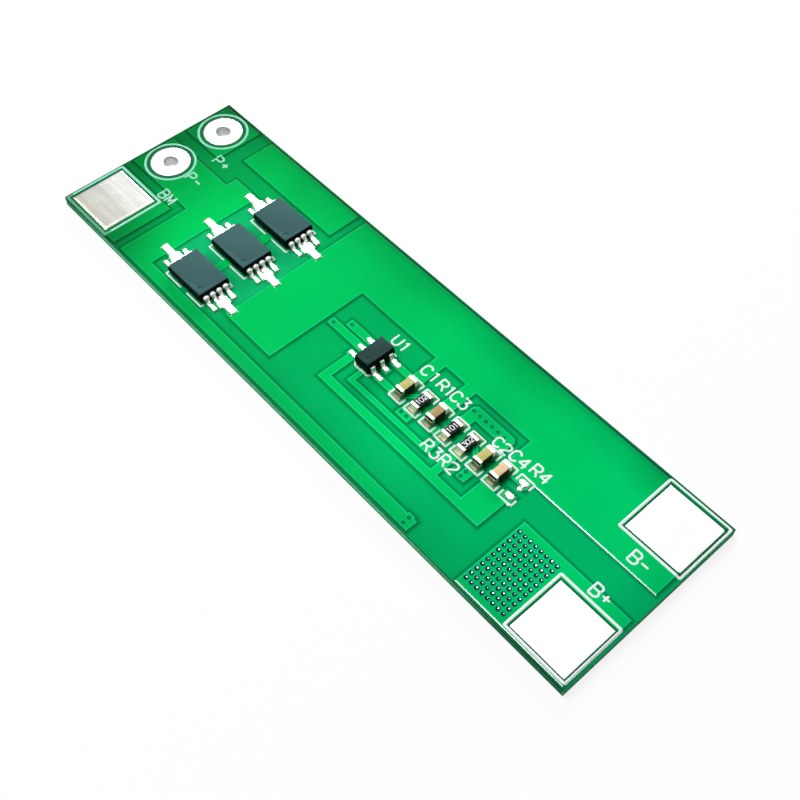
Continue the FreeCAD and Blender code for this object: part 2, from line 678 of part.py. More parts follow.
end_via_x, end_via_y = VIA_GROUPS["strip_end"][:2]
copper_b_minus = copper("copper_b_minus", b_minus_outline(), upper_land("c1"), upper_land("c3"))
copper_b_plus = copper("copper_b_plus", rectangle(B_PLUS_LEFT,
                                                  HALF_LENGTH - size.edge_margin,
                                                  POUR_FOOT, B_PLUS_TOP))
p_plus_whole = copper("p_plus_whole", rectangle(POUR_LEFT, size.p_land_length - HALF_LENGTH,
                                                HALF_WIDTH - size.p_land_width, POUR_TOP))
copper_upper_pour = copper("copper_upper_pour", rectangle(
    Q_X - Q_OUTER - size.upper_left, Q_X + Q_OUTER - size.upper_right,
    TRANSISTORS["q1"] + size.upper_rise, POUR_TOP))
p_minus_whole = copper("p_minus_whole", p_minus_outline(),
                       around(end_via_x, end_via_y, size.rim, size.rim))
copper_bm = copper("copper_bm", rectangle(POUR_LEFT, size.bm_length - HALF_LENGTH, POUR_FOOT, BM_TOP))
tracks = [gate_line("near_gate_line", NEAR_VIA, 0),
          gate_line("far_gate_line", FAR_VIA, 1),
          wide_track(), narrow_track(), supply_track(), tap_link(), via_bar(), r1_feed(),
          copper("spare_land", u_land(*SPARE_LAND))]
copper_control_tracks = together("copper_control_tracks", tracks)
drain_strip = copper("drain_strip", rectangle(Q_X - size.strip_half,
                                              Q_X + size.strip_half,
                                              TRANSISTORS["q3"], TRANSISTORS["q1"]))
singles = [plate(f"{name}_land_{n}", [outline], LAMINATE_TOP, COPPER_TOP)
           for name, y in TRANSISTORS.items() for n, outline in enumerate(outer_lands(y))]
copper_transistor_lands = together("copper_transistor_lands", [drain_strip, *singles])
copper_p_plus = less("copper_p_plus", p_plus_whole,
                     [drill("p_plus_seat", TERMINALS["p_plus"], LAND, LAMINATE_TOP, COPPER_TOP)])
copper_p_minus = less("copper_p_minus", p_minus_whole,
                      [drill("p_minus_seat", size.p_minus_y, LAND, LAMINATE_TOP, COPPER_TOP)])

# Weld pads: flat solder on the copper, standing a little proud of the mask
HALF_PAD = size.pad_side / 2
PADS = {
    "b_minus_pad": around(HALF_LENGTH - size.b_minus_inset, HALF_WIDTH - size.b_minus_inset_y,
                          HALF_PAD, HALF_PAD),
    "b_plus_pad": around(HALF_LENGTH - size.b_plus_inset, size.b_plus_inset_y - HALF_WIDTH,
                         HALF_PAD, HALF_PAD),
    "bm_pad": around(size.bm_inset - HALF_LENGTH, size.bm_inset_y - HALF_WIDTH,
                     HALF_PAD, HALF_PAD),
}
pads = {name: plate(name, [outline], COPPER_TOP, SEAT) for name, outline in PADS.items()}

# Solder joints: a thin bed under the metal end and a slope up its end face
OPENINGS = list(PADS.values())


def joint(name, along, middle, side, spans, cross, half_width, climb):
    """One solder joint; spans are its inner end, its toe and the part's end face from a middle."""
    inner, toe, face = [middle + span * side for span in spans]
    section = [(inner, COPPER_TOP), (toe, COPPER_TOP), (face, SEAT + climb), (face, SEAT),
               (inner, SEAT)]
    low, high = (inner, toe) if side > 0 else (toe, inner)
    if along == "Y":
        OPENINGS.append(rectangle(low, high, cross - half_width, cross + half_width))
    else:
        OPENINGS.append(rectangle(cross - half_width, cross + half_width, low, high))
    return ridge(name, section, along, cross - half_width, cross + half_width)


# Packages with formed leads


def lead_section(half_case, half_span, foot, case_height, side):
    """The side view of a gull-wing lead, from its root in the case to the tip of its foot."""
    gauge, cut = size.lead_gauge, size.lead_bend
    middle = size.standoff + case_height / 2
    top, under = middle + gauge / 2, middle - gauge / 2
    root, shoulder = half_case - size.lead_root, half_case + size.lead_shoulder
    heel = half_span - foot
    lean = (heel - shoulder) / (top - gauge)
    level = gauge * (lean * lean + 1).root()
    inner_top = shoulder + lean * gauge - level
    inner_foot = shoulder + lean * top - level
    outline = [
        (root, top), (shoulder - cut, top), (shoulder + lean * cut, top - cut),
        (heel - lean * cut, gauge + cut), (heel + cut, gauge), (half_span, gauge),
        (half_span, ZERO), (inner_foot + cut, ZERO), (inner_foot - lean * cut, cut),
        (inner_top + lean * cut, under - cut), (inner_top - cut, under), (root, under),
    ]
    return [(x * side, z) for x, z in outline]


def leads(name, x, y, sections, width, pitch, many):
    """Both rows of leads of a package."""
    body = doc.addObject("PartDesign::Body", name)
    body.AllowCompound = True
    pad = body.newObject("PartDesign::Pad", name + "_first")
    pad.Profile = body_sketch(body, name + "_sections", "XZ_Plane", sections)
    pad.SideType = "Symmetric"
    bind(pad, Length=width)
    row = body.newObject("PartDesign::LinearPattern", name + "_row")
    row.Originals = [pad]
    row.Direction = axis_of(body, "Y_Axis")
    row.Mode = "Spacing"
    row.Occurrences = many
    bind(row, Offset=pitch)
    body.Tip = row
    return place(body, x, y - pitch * (many - 1) / 2, SEAT)


def moulded_case(name, x, y, half_x, half_y, height, lead_rows):
    """A case drafted both ways from its parting line, with seats for the leads and a mark."""
    drawing = doc.addObject("Sketcher::SketchObject", name + "_parting_line")
    draw(drawing, [around(x, y, half_x, half_y)])
    bind(drawing, Placement__Base__z=SEAT + size.standoff + height / 2)
    whole = doc.addObject("Part::Extrusion", name + "_whole")
    whole.Base = drawing
    whole.DirMode = "Custom"
    whole.Dir = FreeCAD.Vector(0, 0, 1)
    whole.Solid = True
    bind(whole, LengthFwd=height / 2, LengthRev=height / 2,
         TaperAngle=-size.draft_angle, TaperAngleRev=-size.draft_angle)
    mark = doc.addObject("Part::Cylinder", name + "_mark")
    bind(mark, Radius=size.dimple / 2, Height=size.dimple_depth * 2)
    place(mark, x + half_x - size.dimple_inset, y - half_y + size.dimple_inset,
          SEAT + size.standoff + height - size.dimple_depth)
    return less(name, whole, [lead_rows, mark])


PARTS = {}


def power_transistor(name, y):
    half_case, half_span = size.q_body_x / 2, size.q_span / 2
    rows = leads(name + "_leads", Q_X, y,
                 [lead_section(half_case, half_span, size.q_foot, size.q_body_z, side)
                  for side in (-1, 1)], size.q_lead_width, size.q_lead_pitch, 4)
    PARTS[name + "_leads"] = rows
    PARTS[name + "_case"] = moulded_case(name + "_case", Q_X, y, half_case,
                                         size.q_body_y / 2, size.q_body_z, rows)
    spans = (Q_INNER, Q_OUTER, half_span)
    solder = []
    for side, tongue in ((-1, size.q_tongue_left), (1, size.q_tongue_right)):
        for row in (-1, 1):
            solder.append(joint(f"{name}_joint_{side + 1}_{row + 1}", "Y", Q_X, side, spans,
                                y + size.q_lead_pitch * 1.5 * row, Q_LAND,
                                size.toe_climb))
        outline = shared_solder(side, y, tongue)
        pair = joint(f"{name}_pair_{side + 1}", "Y", Q_X, side, spans, y, Q_PAIR,
                     size.toe_climb)
        bed = plate(f"{name}_bed_{side + 1}", [outline], COPPER_TOP, SEAT)
        OPENINGS[-1] = outline
        solder.append(joined(f"{name}_shared_{side + 1}", [pair, bed]))
    PARTS[name + "_solder"] = together(name + "_solder", solder)


def protection_chip():
    half_case, half_span = size.u_body_x / 2, size.u_span / 2
    rows = leads("u1_leads", size.u_x, size.u_y,
                 [lead_section(half_case, half_span, size.u_foot, size.u_body_z, side)
                  for side in (-1, 1)], size.u_lead_width, size.u_lead_pitch, 3)
    PARTS["u1_leads"] = rows
    PARTS["u1_case"] = moulded_case("u1_case", size.u_x, size.u_y, half_case, size.u_body_y / 2,
                                    size.u_body_z, rows)
    solder = []
    for side in (-1, 1):
        for lead in range(3):
            solder.append(joint(f"u1_joint_{side + 1}_{lead}", "Y", size.u_x, side,
                                (U_INNER, u_outer(side, lead), half_span),
                                size.u_y + size.u_lead_pitch * (1 - lead),
                                U_LAND, size.toe_climb))
    PARTS["u1_solder"] = together("u1_solder", solder)


for name, y in TRANSISTORS.items():
    power_transistor(name, y)
protection_chip()

# Chip parts: a plain block between two metal ends


def chip_block(name, chip, inset, low, high):
    """A block on a chip part's middle; inset is taken off both ends and low, high are levels."""
    half = size.chip_width / 2
    return block(name, (CHIPS[chip] - half, size.chip_y - HALF_CHIP + inset, low),
                 (CHIPS[chip] + half, size.chip_y + HALF_CHIP - inset, high))


def capacitor(name):
    """Ceramic with caps that wrap round all five faces of each end."""
    x, wall = CHIPS[name], size.cap_wall
    half = size.chip_width / 2
    top = SEAT + size.capacitor_height
    ceramic = block(name + "_ceramic", (x - half + wall, size.chip_y - HALF_CHIP + wall,
                                        SEAT + wall),
                    (x + half - wall, size.chip_y + HALF_CHIP - wall, top - wall))
    caps = []
    for side, word in ((-1, "lower"), (1, "upper")):
        tip, rim = size.chip_y + HALF_CHIP * side, size.chip_y + (HALF_CHIP - size.end_cap) * side
        low, high = (tip, rim) if side < 0 else (rim, tip)
        full = block(f"{name}_{word}_cap_whole", (x - half, low, SEAT), (x + half, high, top))
        caps.append(less(f"{name}_{word}_cap", full, [ceramic]))
    PARTS[name + "_ceramic"] = ceramic
    PARTS[name + "_end_caps"] = together(name + "_end_caps", caps)


def resistor(name):
    """A white substrate with wrapped ends and a black coat on its upper face."""
    wall, top = size.cap_wall, SEAT + size.resistor_height
    half = size.chip_width / 2
    PARTS[name + "_substrate"] = chip_block(name + "_substrate", name, wall, SEAT + wall,
                                            top - wall)
    PARTS[name + "_coat"] = chip_block(name + "_coat", name, size.end_cap, top - wall,
                                       top - wall + size.coat)
    ends = []
    for side in (-1, 1):
        tip, rim = size.chip_y + HALF_CHIP * side, size.chip_y + (HALF_CHIP - size.end_cap) * side
        face = tip - wall * side
        wrap = [(rim, SEAT), (tip, SEAT), (tip, top), (rim, top), (rim, top - wall),
                (face, top - wall), (face, SEAT + wall), (rim, SEAT + wall)]
        ends.append(ridge(f"{name}_end_{side + 1}", wrap, "X", CHIPS[name] - half,
                          CHIPS[name] + half))
    PARTS[name + "_ends"] = together(name + "_ends", ends)


for name in CAPACITORS:
    capacitor(name)
for name in RESISTORS:
    resistor(name)
PARTS["chip_solder"] = together("chip_solder", [
    joint(f"{name}_solder_{side + 1}", "X", size.chip_y, side,
          (CHIP_INNER, CHIP_OUTER, HALF_CHIP), CHIPS[name],
          CHIP_LAND, size.fillet_climb)
    for name in CAPACITORS + RESISTORS for side in (-1, 1)])

# The empty place R4 has only solder on its two lands
blobs = [around(CHIPS["r4"], size.chip_y + (CHIP_INNER + size.blob_length / 2) * side,
                size.blob_half, size.blob_length / 2) for side in (-1, 1)]
OPENINGS.extend(blobs)
PARTS["r4_solder"] = together("r4_solder", [plate(f"r4_blob_{n}", [blob], COPPER_TOP, SEAT)
                                            for n, blob in enumerate(blobs)])

# Laminate with its drilled holes
core = block("core", (-HALF_LENGTH, -HALF_WIDTH, LAMINATE_BASE),
             (HALF_LENGTH, HALF_WIDTH, LAMINATE_TOP))
laminate = less("laminate", core, [via_barrels] + [
    drill(name + "_bore", y, BARREL, LAMINATE_BASE, LAMINATE_TOP)
    for name, y in TERMINALS.items()])

# Copper on the underside: one wide plane, with islands round the vias that it mustn't touch
ISLANDS = ["strip", "c2_pair", "near_gate", "far_gate", "strip_end"]
plane = plate("plane_whole", [rectangle(POUR_LEFT, -POUR_LEFT, -POUR_TOP, POUR_TOP)],
              size.mask_cover, LAMINATE_BASE)
windows = [plate(f"window_{key}", [rectangle(*group_frame(key, size.via_land + size.via_gap))],
                 size.mask_cover, LAMINATE_BASE) for key in ISLANDS]
windows.append(drill("p_plus_underside", TERMINALS["p_plus"], LAND, ZERO, LAMINATE_BASE))
windows.append(plate("p_minus_window", [around(TERMINAL_X, size.p_minus_y, LAND + size.via_gap,
                                               LAND + size.via_gap)],
                     size.mask_cover, LAMINATE_BASE))
copper_bottom_plane = less("copper_bottom_plane", plane, windows)
copper_bottom_lands = together("copper_bottom_lands", [
    plate(f"land_{key}", [rectangle(*group_frame(key, size.via_land))], size.mask_cover,
          LAMINATE_BASE) for key in ISLANDS])

# Solder mask: it follows the copper, thin over the flats and round the edges, and leaves the
# solder open


def grown(drawing):
    """The field that the mask forms over one piece of copper."""
    wider = doc.addObject("Part::Offset2D", drawing.Name + "_grown")
    wider.Source = drawing
    wider.Join = "Intersection"
    bind(wider, Value=size.mask_side)
    field = doc.addObject("Part::Extrusion", drawing.Name + "_field")
    field.Base = wider
    field.DirMode = "Custom"
    field.Dir = FreeCAD.Vector(0, 0, 1)
    field.Solid = True
    return bind(field, LengthFwd=BOARD_TOP - LAMINATE_TOP)


flat_mask = block("flat_mask", (-HALF_LENGTH, -HALF_WIDTH, LAMINATE_TOP),
                  (HALF_LENGTH, HALF_WIDTH, LAMINATE_TOP + size.mask_cover))
mask_whole = joined("mask_whole", [flat_mask] + [grown(drawing) for drawing in SKETCHES])
openings = [plate(f"opening_{n}", [outline], COPPER_TOP, BOARD_TOP)
            for n, outline in enumerate(OPENINGS)]
mouths = [drill(f"{name}_mouth", y, LAND, LAMINATE_TOP, BOARD_TOP)
          for name, y in TERMINALS.items()]
solder_mask_top = less("solder_mask_top", mask_whole, [
    copper_b_minus, copper_b_plus, p_plus_whole, copper_upper_pour, p_minus_whole, copper_bm,
    *tracks, drain_strip, *singles, *openings, *mouths])
slab = block("slab", (-HALF_LENGTH, -HALF_WIDTH, ZERO), (HALF_LENGTH, HALF_WIDTH, LAMINATE_BASE))
solder_mask_bottom = less("solder_mask_bottom", slab, [
    copper_bottom_plane, copper_bottom_lands] + [
    drill(f"{name}_underside_mouth", y, LAND, ZERO, LAMINATE_BASE)
    for name, y in TERMINALS.items()])

NODES = {
    "laminate": laminate,
    "via_barrels": via_barrels,
    "copper_b_minus": copper_b_minus,
    "copper_b_plus": copper_b_plus,
    "copper_p_plus": copper_p_plus,
    "copper_upper_pour": copper_upper_pour,
    "copper_p_minus": copper_p_minus,
    "copper_bm": copper_bm,
    "copper_control_tracks": copper_control_tracks,
    "copper_transistor_lands": copper_transistor_lands,
    "copper_bottom_plane": copper_bottom_plane,
    "copper_bottom_lands": copper_bottom_lands,
    "solder_mask_top": solder_mask_top,
    "solder_mask_bottom": solder_mask_bottom,
    "p_plus_terminal": terminals["p_plus"],
    "p_minus_terminal": terminals["p_minus"],
    **pads,
    **PARTS,
}
for name, thing in NODES.items():
    thing.Label = name
doc.recompute()
for thing in doc.Objects:
    faults = {"Invalid", "Error"} & set(thing.State)
    if faults:
        raise ValueError(f"{thing.Name}: {faults}")
    if hasattr(thing, "Shape") and thing.TypeId != "App::Plane" and thing.Shape.isNull():
        raise ValueError(f"{thing.Name} is empty")
for name, thing in NODES.items():
    if thing.Shape.isNull() or not thing.Shape.isValid() or not thing.Shape.Solids:
        raise ValueError(f"{name} isn't a valid solid")

os.makedirs("parts", exist_ok=True)
for name, thing in NODES.items():
    thing.Shape.exportStep(f"parts/{name}.step")
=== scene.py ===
# %% [markdown]
# # A battery protection board, dressed for its picture
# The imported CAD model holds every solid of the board: laminate, copper, solder mask, pads,
# terminals and parts. It is loaded as a fixed frame, and each step below either gives one of
# its solids a finish or replaces it by a piece that shows what solids leave out: soft mask
# slopes, solder that climbs its leads, printed lines and crowded via holes.

# %% Load the frame
import math
from functools import partial

import bmesh
import bpy
from mathutils import Euler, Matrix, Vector, noise
from mathutils.geometry import delaunay_2d_cdt


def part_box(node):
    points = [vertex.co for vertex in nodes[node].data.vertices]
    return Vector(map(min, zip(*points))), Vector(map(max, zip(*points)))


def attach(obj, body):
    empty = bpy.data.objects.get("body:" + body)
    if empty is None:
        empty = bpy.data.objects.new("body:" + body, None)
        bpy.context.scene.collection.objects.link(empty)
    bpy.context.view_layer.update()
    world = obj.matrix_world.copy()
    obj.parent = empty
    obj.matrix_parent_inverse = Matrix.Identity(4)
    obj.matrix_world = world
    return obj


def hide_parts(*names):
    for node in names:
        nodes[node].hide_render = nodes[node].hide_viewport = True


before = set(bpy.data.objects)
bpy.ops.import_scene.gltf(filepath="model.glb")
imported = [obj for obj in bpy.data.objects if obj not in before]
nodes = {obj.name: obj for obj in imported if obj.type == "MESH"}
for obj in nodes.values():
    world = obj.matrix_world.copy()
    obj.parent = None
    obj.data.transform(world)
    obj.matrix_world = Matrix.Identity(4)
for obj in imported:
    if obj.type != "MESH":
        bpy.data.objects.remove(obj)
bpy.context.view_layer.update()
MM = 0.001
print("solids in the frame:", len(nodes))

# %% [markdown]
# ## Heights of the board
# A board is a stack. These are the levels that the pieces below stand on, in millimetres
# above the floor: bare laminate with its thin mask, copper, and the flat of a weld pad.

# %% Levels
COPPER_TOP = 0.97
MASK_ON_LAMINATE = 0.93
UNDER_THE_MASK = 0.92
PAD_TOP = 1.02

# %% [markdown]
# ## The camera
# The board was seen from its front right corner, from above, with a fairly close lens, so
# the far end is smaller. The place and turn were found by fitting the four board corners.


# %% Camera
def new_object(name, data):
    thing = bpy.data.objects.new(name, data)
    bpy.context.scene.collection.objects.link(thing)
    return thing


camera = new_object("camera", bpy.data.cameras.new("camera"))
camera.data.lens = 51.37
camera.data.sensor_width = 36
camera.data.clip_start = 0.002
camera.location = (0.0420140, -0.0354398, 0.0737524)
camera.rotation_euler = Euler([math.radians(a) for a in (34.3820, -0.5946, 47.9381)])
bpy.context.scene.camera = camera
print("camera", round(camera.location.length / MM, 1), "mm from the origin")

# %% [markdown]
# ## A bench for materials
# Every finish here is a node material. Building one by hand takes three lines a node, so a
# small helper adds a node, fills its sockets and wires whatever is passed as a socket.
# Patterns read Object coordinates, which are metres on the board itself, so a grain keeps
# its true size on every piece, and a shade can run from one end of the board to the other.


# %% A helper that wires nodes
def new_node(tree, kind, settings=None, **sockets):
    """Adds a node. A socket goes by its name, with _ for a space, or by number, as in i0."""
    node = tree.nodes.new(kind)
    for key, value in (settings or {}).items():
        setattr(node, key, value)
    fill(tree, node, sockets)
    return node


def fill(tree, node, sockets):
    for key, value in sockets.items():
        socket = node.inputs[int(key[1:]) if key[1:].isdigit() else key.replace("_", " ")]
        if isinstance(value, bpy.types.NodeSocket):
            tree.links.new(value, socket)
        else:
            socket.default_value = value


# %% A finish in the making
class Finish:
    """A node material with its shader and its Object coordinates."""

    def __init__(self, name, **sockets):
        self.material = bpy.data.materials.new(name)
        self.material.use_nodes = True
        self.tree = self.material.node_tree
        self.shader = self.tree.nodes["Principled BSDF"]
        self.place = self.add("TexCoord").outputs["Object"]
        fill(self.tree, self.shader, sockets)

    def add(self, kind, settings=None, **sockets):
        return new_node(self.tree, "ShaderNode" + kind, settings, **sockets)

    def noise(self, scale, detail=2.0, roughness=0.5, place=None):
        return self.add("TexNoise", Vector=place or self.place, Scale=scale, Detail=detail,
                        Roughness=roughness).outputs["Fac"]

    def stretched(self, x, y, z):
        return self.add("Mapping", Vector=self.place, Scale=(x, y, z)).outputs["Vector"]

    def span(self, value, low, high, out_low=0.0, out_high=1.0):
        return self.add("MapRange", Value=value, From_Min=low, From_Max=high, To_Min=out_low,
                        To_Max=out_high).outputs["Result"]

    def along(self, axis, low, high, out_low=0.0, out_high=1.0):
        """A value that runs along one axis of the board, between two places in mm."""
        where = self.add("SeparateXYZ", Vector=self.place).outputs[axis]
        return self.span(where, low * MM, high * MM, out_low, out_high)

    def around(self, x, y, near, far, out_near, out_far):
        """A value that runs outwards from a point of the board's top, in mm."""
        away = self.add("VectorMath", {"operation": "DISTANCE"}, i0=self.place,
                        i1=(x * MM, y * MM, MM)).outputs["Value"]
        return self.span(away, near * MM, far * MM, out_near, out_far)

    def blend(self, share, first, second):
        return self.add("Mix", {"data_type": "RGBA"}, i0=share, i6=first, i7=second).outputs[2]

    def tinted(self, first, second):
        return self.add("Mix", {"data_type": "RGBA", "blend_type": "MULTIPLY"}, i0=1.0, i6=first,
                        i7=second).outputs[2]

    def multiply(self, first, second, operation="MULTIPLY"):
        return self.add("Math", {"operation": operation}, i0=first, i1=second).outputs[0]

    def bump(self, height, distance):
        normal = self.add("Bump", Height=height, Distance=distance, Strength=1.0)
        fill(self.tree, self.shader, {"Normal": normal.outputs["Normal"]})

    def finish(self, **sockets):
        fill(self.tree, self.shader, sockets)
        return self.material


# %% [markdown]
# ## Solder mask
# The mask is a clear green lacquer. Over copper the metal throws light back through it and
# it looks bright; over bare laminate it looks dark. In the hollow beside a copper edge it is
# darker still, which is painted shade, and the crest of each slope is a lighter line, which is
# a painted highlight. The lacquer follows the copper, so height alone tells which is which: a
# ramp over the height of each point gives the colour. The coat was rolled on and isn't even:
# it is a little bluer towards one end, and milky in the hollows by the transistors. Painted
# shade darkens it by the edges of the board and in some places, and painted light brightens
# one place. The coat is dull as a whole. Where it ran down one long edge and tightened it
# stayed wet, and draws a fine white line of light.

# %% Mask colours and places
MASK_BRIGHT = (0.0, 0.550, 0.108, 1)
MASK_DARK = (0.0, 0.425, 0.102, 1)
# Painted shade: the colour of the hollow beside each copper edge.
MASK_EDGE_SHADE = (0.0, 0.190, 0.055, 1)
# Painted highlight: the colour of the crest of each slope.
MASK_CREST_HIGHLIGHT = (0.006, 0.680, 0.210, 1)
MASK_THICK = (0.0, 0.270, 0.125, 1)
MASK_CLOUDY = (0.006, 0.480, 0.170, 1)
MASK_BELOW = (0.0, 0.430, 0.080, 1)
RAMP_LOW, RAMP_HIGH = 0.93, 1.026
MASK_RAMP = ((0.9302, MASK_DARK), (0.9345, MASK_EDGE_SHADE), (0.950, MASK_EDGE_SHADE),
             (0.992, MASK_BRIGHT), (1.0003, MASK_BRIGHT), (1.0022, MASK_CREST_HIGHLIGHT),
             (1.006, MASK_THICK), (1.024, MASK_THICK))
# (axis, where the painted shade starts, the edge, brightness at the edge)
SHADED_EDGES = (("X", -19.5, -29, 0.38), ("X", 26.8, 30, 0.78), ("Y", -5.8, -9, 0.78),
               ("Y", 5.8, 9, 0.78), ("Y", 8.2, 9, 0.55))
# (x, y, reach, loss) of painted shade: a negative loss is painted light
SHADED_PLACES = (
    (-24, -8.5, 6, 0.40), (-16, 8.5, 9, 0.17), (-4, 8.5, 9, 0.17), (9, 9.5, 7, 0.14),
    (8, -4.0, 6, -0.14), (11.3, 2.4, 2.8, 0.20), (23.5, 9.0, 3.5, 0.20), (20.3, -5.2, 3.4, 0.12),
    (27.0, -9.0, 4.0, 0.30), (30.0, 6.5, 3.5, 0.25), (-30.0, -9.0, 2.5, 0.30))
BLUE_END_TO_END = (-30, 30, 0.85, 1.28)
# (x, y, full to, gone at, share at the middle, share outside)
CLOUDY_PLACE = (-14.0, -1.6, 4.0, 7.0, 0.75, 0.0)
HOLLOW = (0.936, 0.96, 1.0, 0.0)
ORANGE_PEEL, PEEL_DEPTH = 1500, 0.0000012


# %% Mask finishes
def mask_finish(name, shine, rough):
    mask = Finish(name, Roughness=rough, IOR=1.5, Specular_IOR_Level=shine)
    ramp = mask.add("ValToRGB", Fac=mask.along("Z", RAMP_LOW, RAMP_HIGH))
    stops = ramp.color_ramp.elements
    for i, (level, colour) in enumerate(MASK_RAMP):
        stop = stops[i] if i < 2 else stops.new(1)
        stop.position = (level - RAMP_LOW) / (RAMP_HIGH - RAMP_LOW)
        stop.color = colour
    cloud_and_shade = mask.span(mask.noise(140, 3), 0.3, 0.7, 0.94, 1.04)
    # Painted shade round some places and along the edges of the board, and painted light where a loss
    # is negative, multiplied into the random clouds.
    for x, y, reach, loss in SHADED_PLACES:
        cloud_and_shade = mask.multiply(cloud_and_shade, mask.around(x, y, 0.2 * reach, reach, 1 - loss, 1))
    for axis, inner, edge, dark in SHADED_EDGES:
        cloud_and_shade = mask.multiply(cloud_and_shade, mask.along(axis, inner, edge, 1.01, dark))
    blue = mask.multiply(cloud_and_shade, mask.along("X", *BLUE_END_TO_END))
    cloud_and_shade = mask.add("CombineXYZ", X=cloud_and_shade, Y=cloud_and_shade, Z=blue).outputs[0]
    clouded_and_shaded = mask.tinted(ramp.outputs["Color"], cloud_and_shade)
    milky = mask.multiply(mask.around(*CLOUDY_PLACE), mask.along("Z", *HOLLOW))
    mask.bump(mask.noise(ORANGE_PEEL, 1), PEEL_DEPTH)
    return mask.finish(Base_Color=mask.blend(milky, clouded_and_shaded, MASK_CLOUDY))


mask_green = mask_finish("mask_green", 0.02, 0.22)
mask_wet = mask_finish("mask_wet", 0.8, 0.12)

below = Finish("mask_green_below", Roughness=0.26, Specular_IOR_Level=0.15)
patch = below.span(below.noise(220, 3), 0.3, 0.7)
below.bump(below.noise(ORANGE_PEEL, 1), PEEL_DEPTH)
mask_below = below.finish(Base_Color=below.blend(patch, MASK_BELOW, MASK_BRIGHT))
print("mask finishes:", mask_green.name, mask_wet.name, mask_below.name)

# %% [markdown]
# ## Laminate
# The core is glass cloth pressed in resin. Only its sawn edge shows. There the layers of
# cloth lie as fine level lines, dark under the upper coat, paler green below, and black
# along the bottom. Noise that is stretched along the board and squeezed in height draws them.
# The light along the edge isn't even either, so the ends are painted darker as shade.

# %% Laminate finish
LAYERS = (900, 900, 16000)
PALE_RESIN, DARK_RESIN, BOTTOM_BLACK = (0.130, 0.720, 0.360, 1), (0.010, 0.130, 0.055, 1), (0, 0.003, 0.002, 1)

core = Finish("glass_laminate", Roughness=0.8, Specular_IOR_Level=0.01)
layers = core.noise(1.0, 3, 0.6, core.stretched(*LAYERS))
yarns = core.noise(2600, 2, 0.6)
dyed = core.blend(core.along("Z", 0.60, 0.78), PALE_RESIN, DARK_RESIN)
black_at_bottom = core.blend(core.along("Z", 0.17, 0.24), BOTTOM_BLACK, dyed)
# Painted shade: the edge is darker towards both ends of the board.
near_end = core.multiply(core.along("X", 14, 24, 1.0, 0.28), core.along("X", 29.8, 29.9, 0, 0.75),
                         "MAXIMUM")
layers_and_shade = core.multiply(core.span(layers, 0.35, 0.65, 0.75, 1.12), near_end)
layers_and_shade = core.multiply(layers_and_shade, core.along("X", -30, -22, 0.35, 1.0))
core.bump(core.multiply(layers, yarns), 0.00002)
laminate_finish = core.finish(Base_Color=core.tinted(black_at_bottom, layers_and_shade))
print("laminate finish:", laminate_finish.name)

# %% [markdown]
# ## Metals
# Bare copper hides under the mask. Where the mask is open, the copper was tinned, so a dull
# tin shows between a joint and its mask, stained dark by flux at the small parts. Tin and
# solder are the bright metals. A surface that solder flowed over by itself is smooth and
# mirrors the room, the tin in a hole is rougher and painted darker as shade, a levelled pad
# is a little wavy, and one pad was rubbed, so it carries fine scratches along the board, and a
# painted reflection runs across it from grey at one side to near white at the other.

# %% Metal finishes
LEVELLED, FLOWED = 0.000004, 0.000004


def bright_metal(name, colour, rough, wave=900, depth=0.000002, metallic=1.0):
    metal = Finish(name, Metallic=metallic)
    ripple = metal.noise(wave, 2)
    stain = metal.span(metal.noise(wave * 0.6, 3), 0.35, 0.75)
    dull = tuple(part * 0.94 for part in colour)
    metal.bump(ripple, depth)
    return metal.finish(Base_Color=metal.blend(stain, (*colour, 1), (*dull, 1)),
                        Roughness=metal.span(ripple, 0.3, 0.7, rough * 0.75, rough * 1.35))


copper_finish = bright_metal("copper", (0.72, 0.33, 0.18), 0.4)
solder_finish = bright_metal("solder", (0.93, 0.925, 0.90), 0.2, 2400, FLOWED)
tin_finish = bright_metal("levelled_tin", (0.95, 0.945, 0.935), 0.2, 500, LEVELLED)
tinned_copper = bright_metal("tinned_copper", (0.80, 0.79, 0.74), 0.35, 2400)
lead_finish = bright_metal("tinned_lead_frame", (0.95, 0.945, 0.93), 0.26, 3000)
knee_tin = bright_metal("pressed_tin", (0.93, 0.935, 0.92), 0.42, 3000, metallic=0.45)
land_tin = bright_metal("terminal_tin", (0.83, 0.845, 0.825), 0.25, 500, FLOWED)
# Painted shade: a darker tin for the steep faces of the terminals, the wall of each hole among them.
shaded_hole_tin = bright_metal("shaded_hole_tin", (0.60, 0.63, 0.63), 0.45)
# Painted shade: the chip joints are coloured a dark olive, for the dark green board that they mirror.
shaded_chip_solder = bright_metal("chip_solder", (0.20, 0.23, 0.13), 0.42, 2600, 0.000008)
stained_copper = bright_metal("stained_copper", (0.10, 0.13, 0.07), 0.5, 2400)
end_finish = bright_metal("fired_tin_end", (0.84, 0.83, 0.79), 0.42, 5000, 0.000006)
print("metals, from", copper_finish.name, "to", end_finish.name)

# %% The rubbed pad
rubbed_and_sheen = Finish("rubbed_tin_and_sheen", Metallic=1.0)
scratches = rubbed_and_sheen.noise(1.0, 4, 0.65, rubbed_and_sheen.stretched(90, 5200, 1))
bands = rubbed_and_sheen.noise(1.0, 2, 0.5, rubbed_and_sheen.stretched(60, 900, 1))
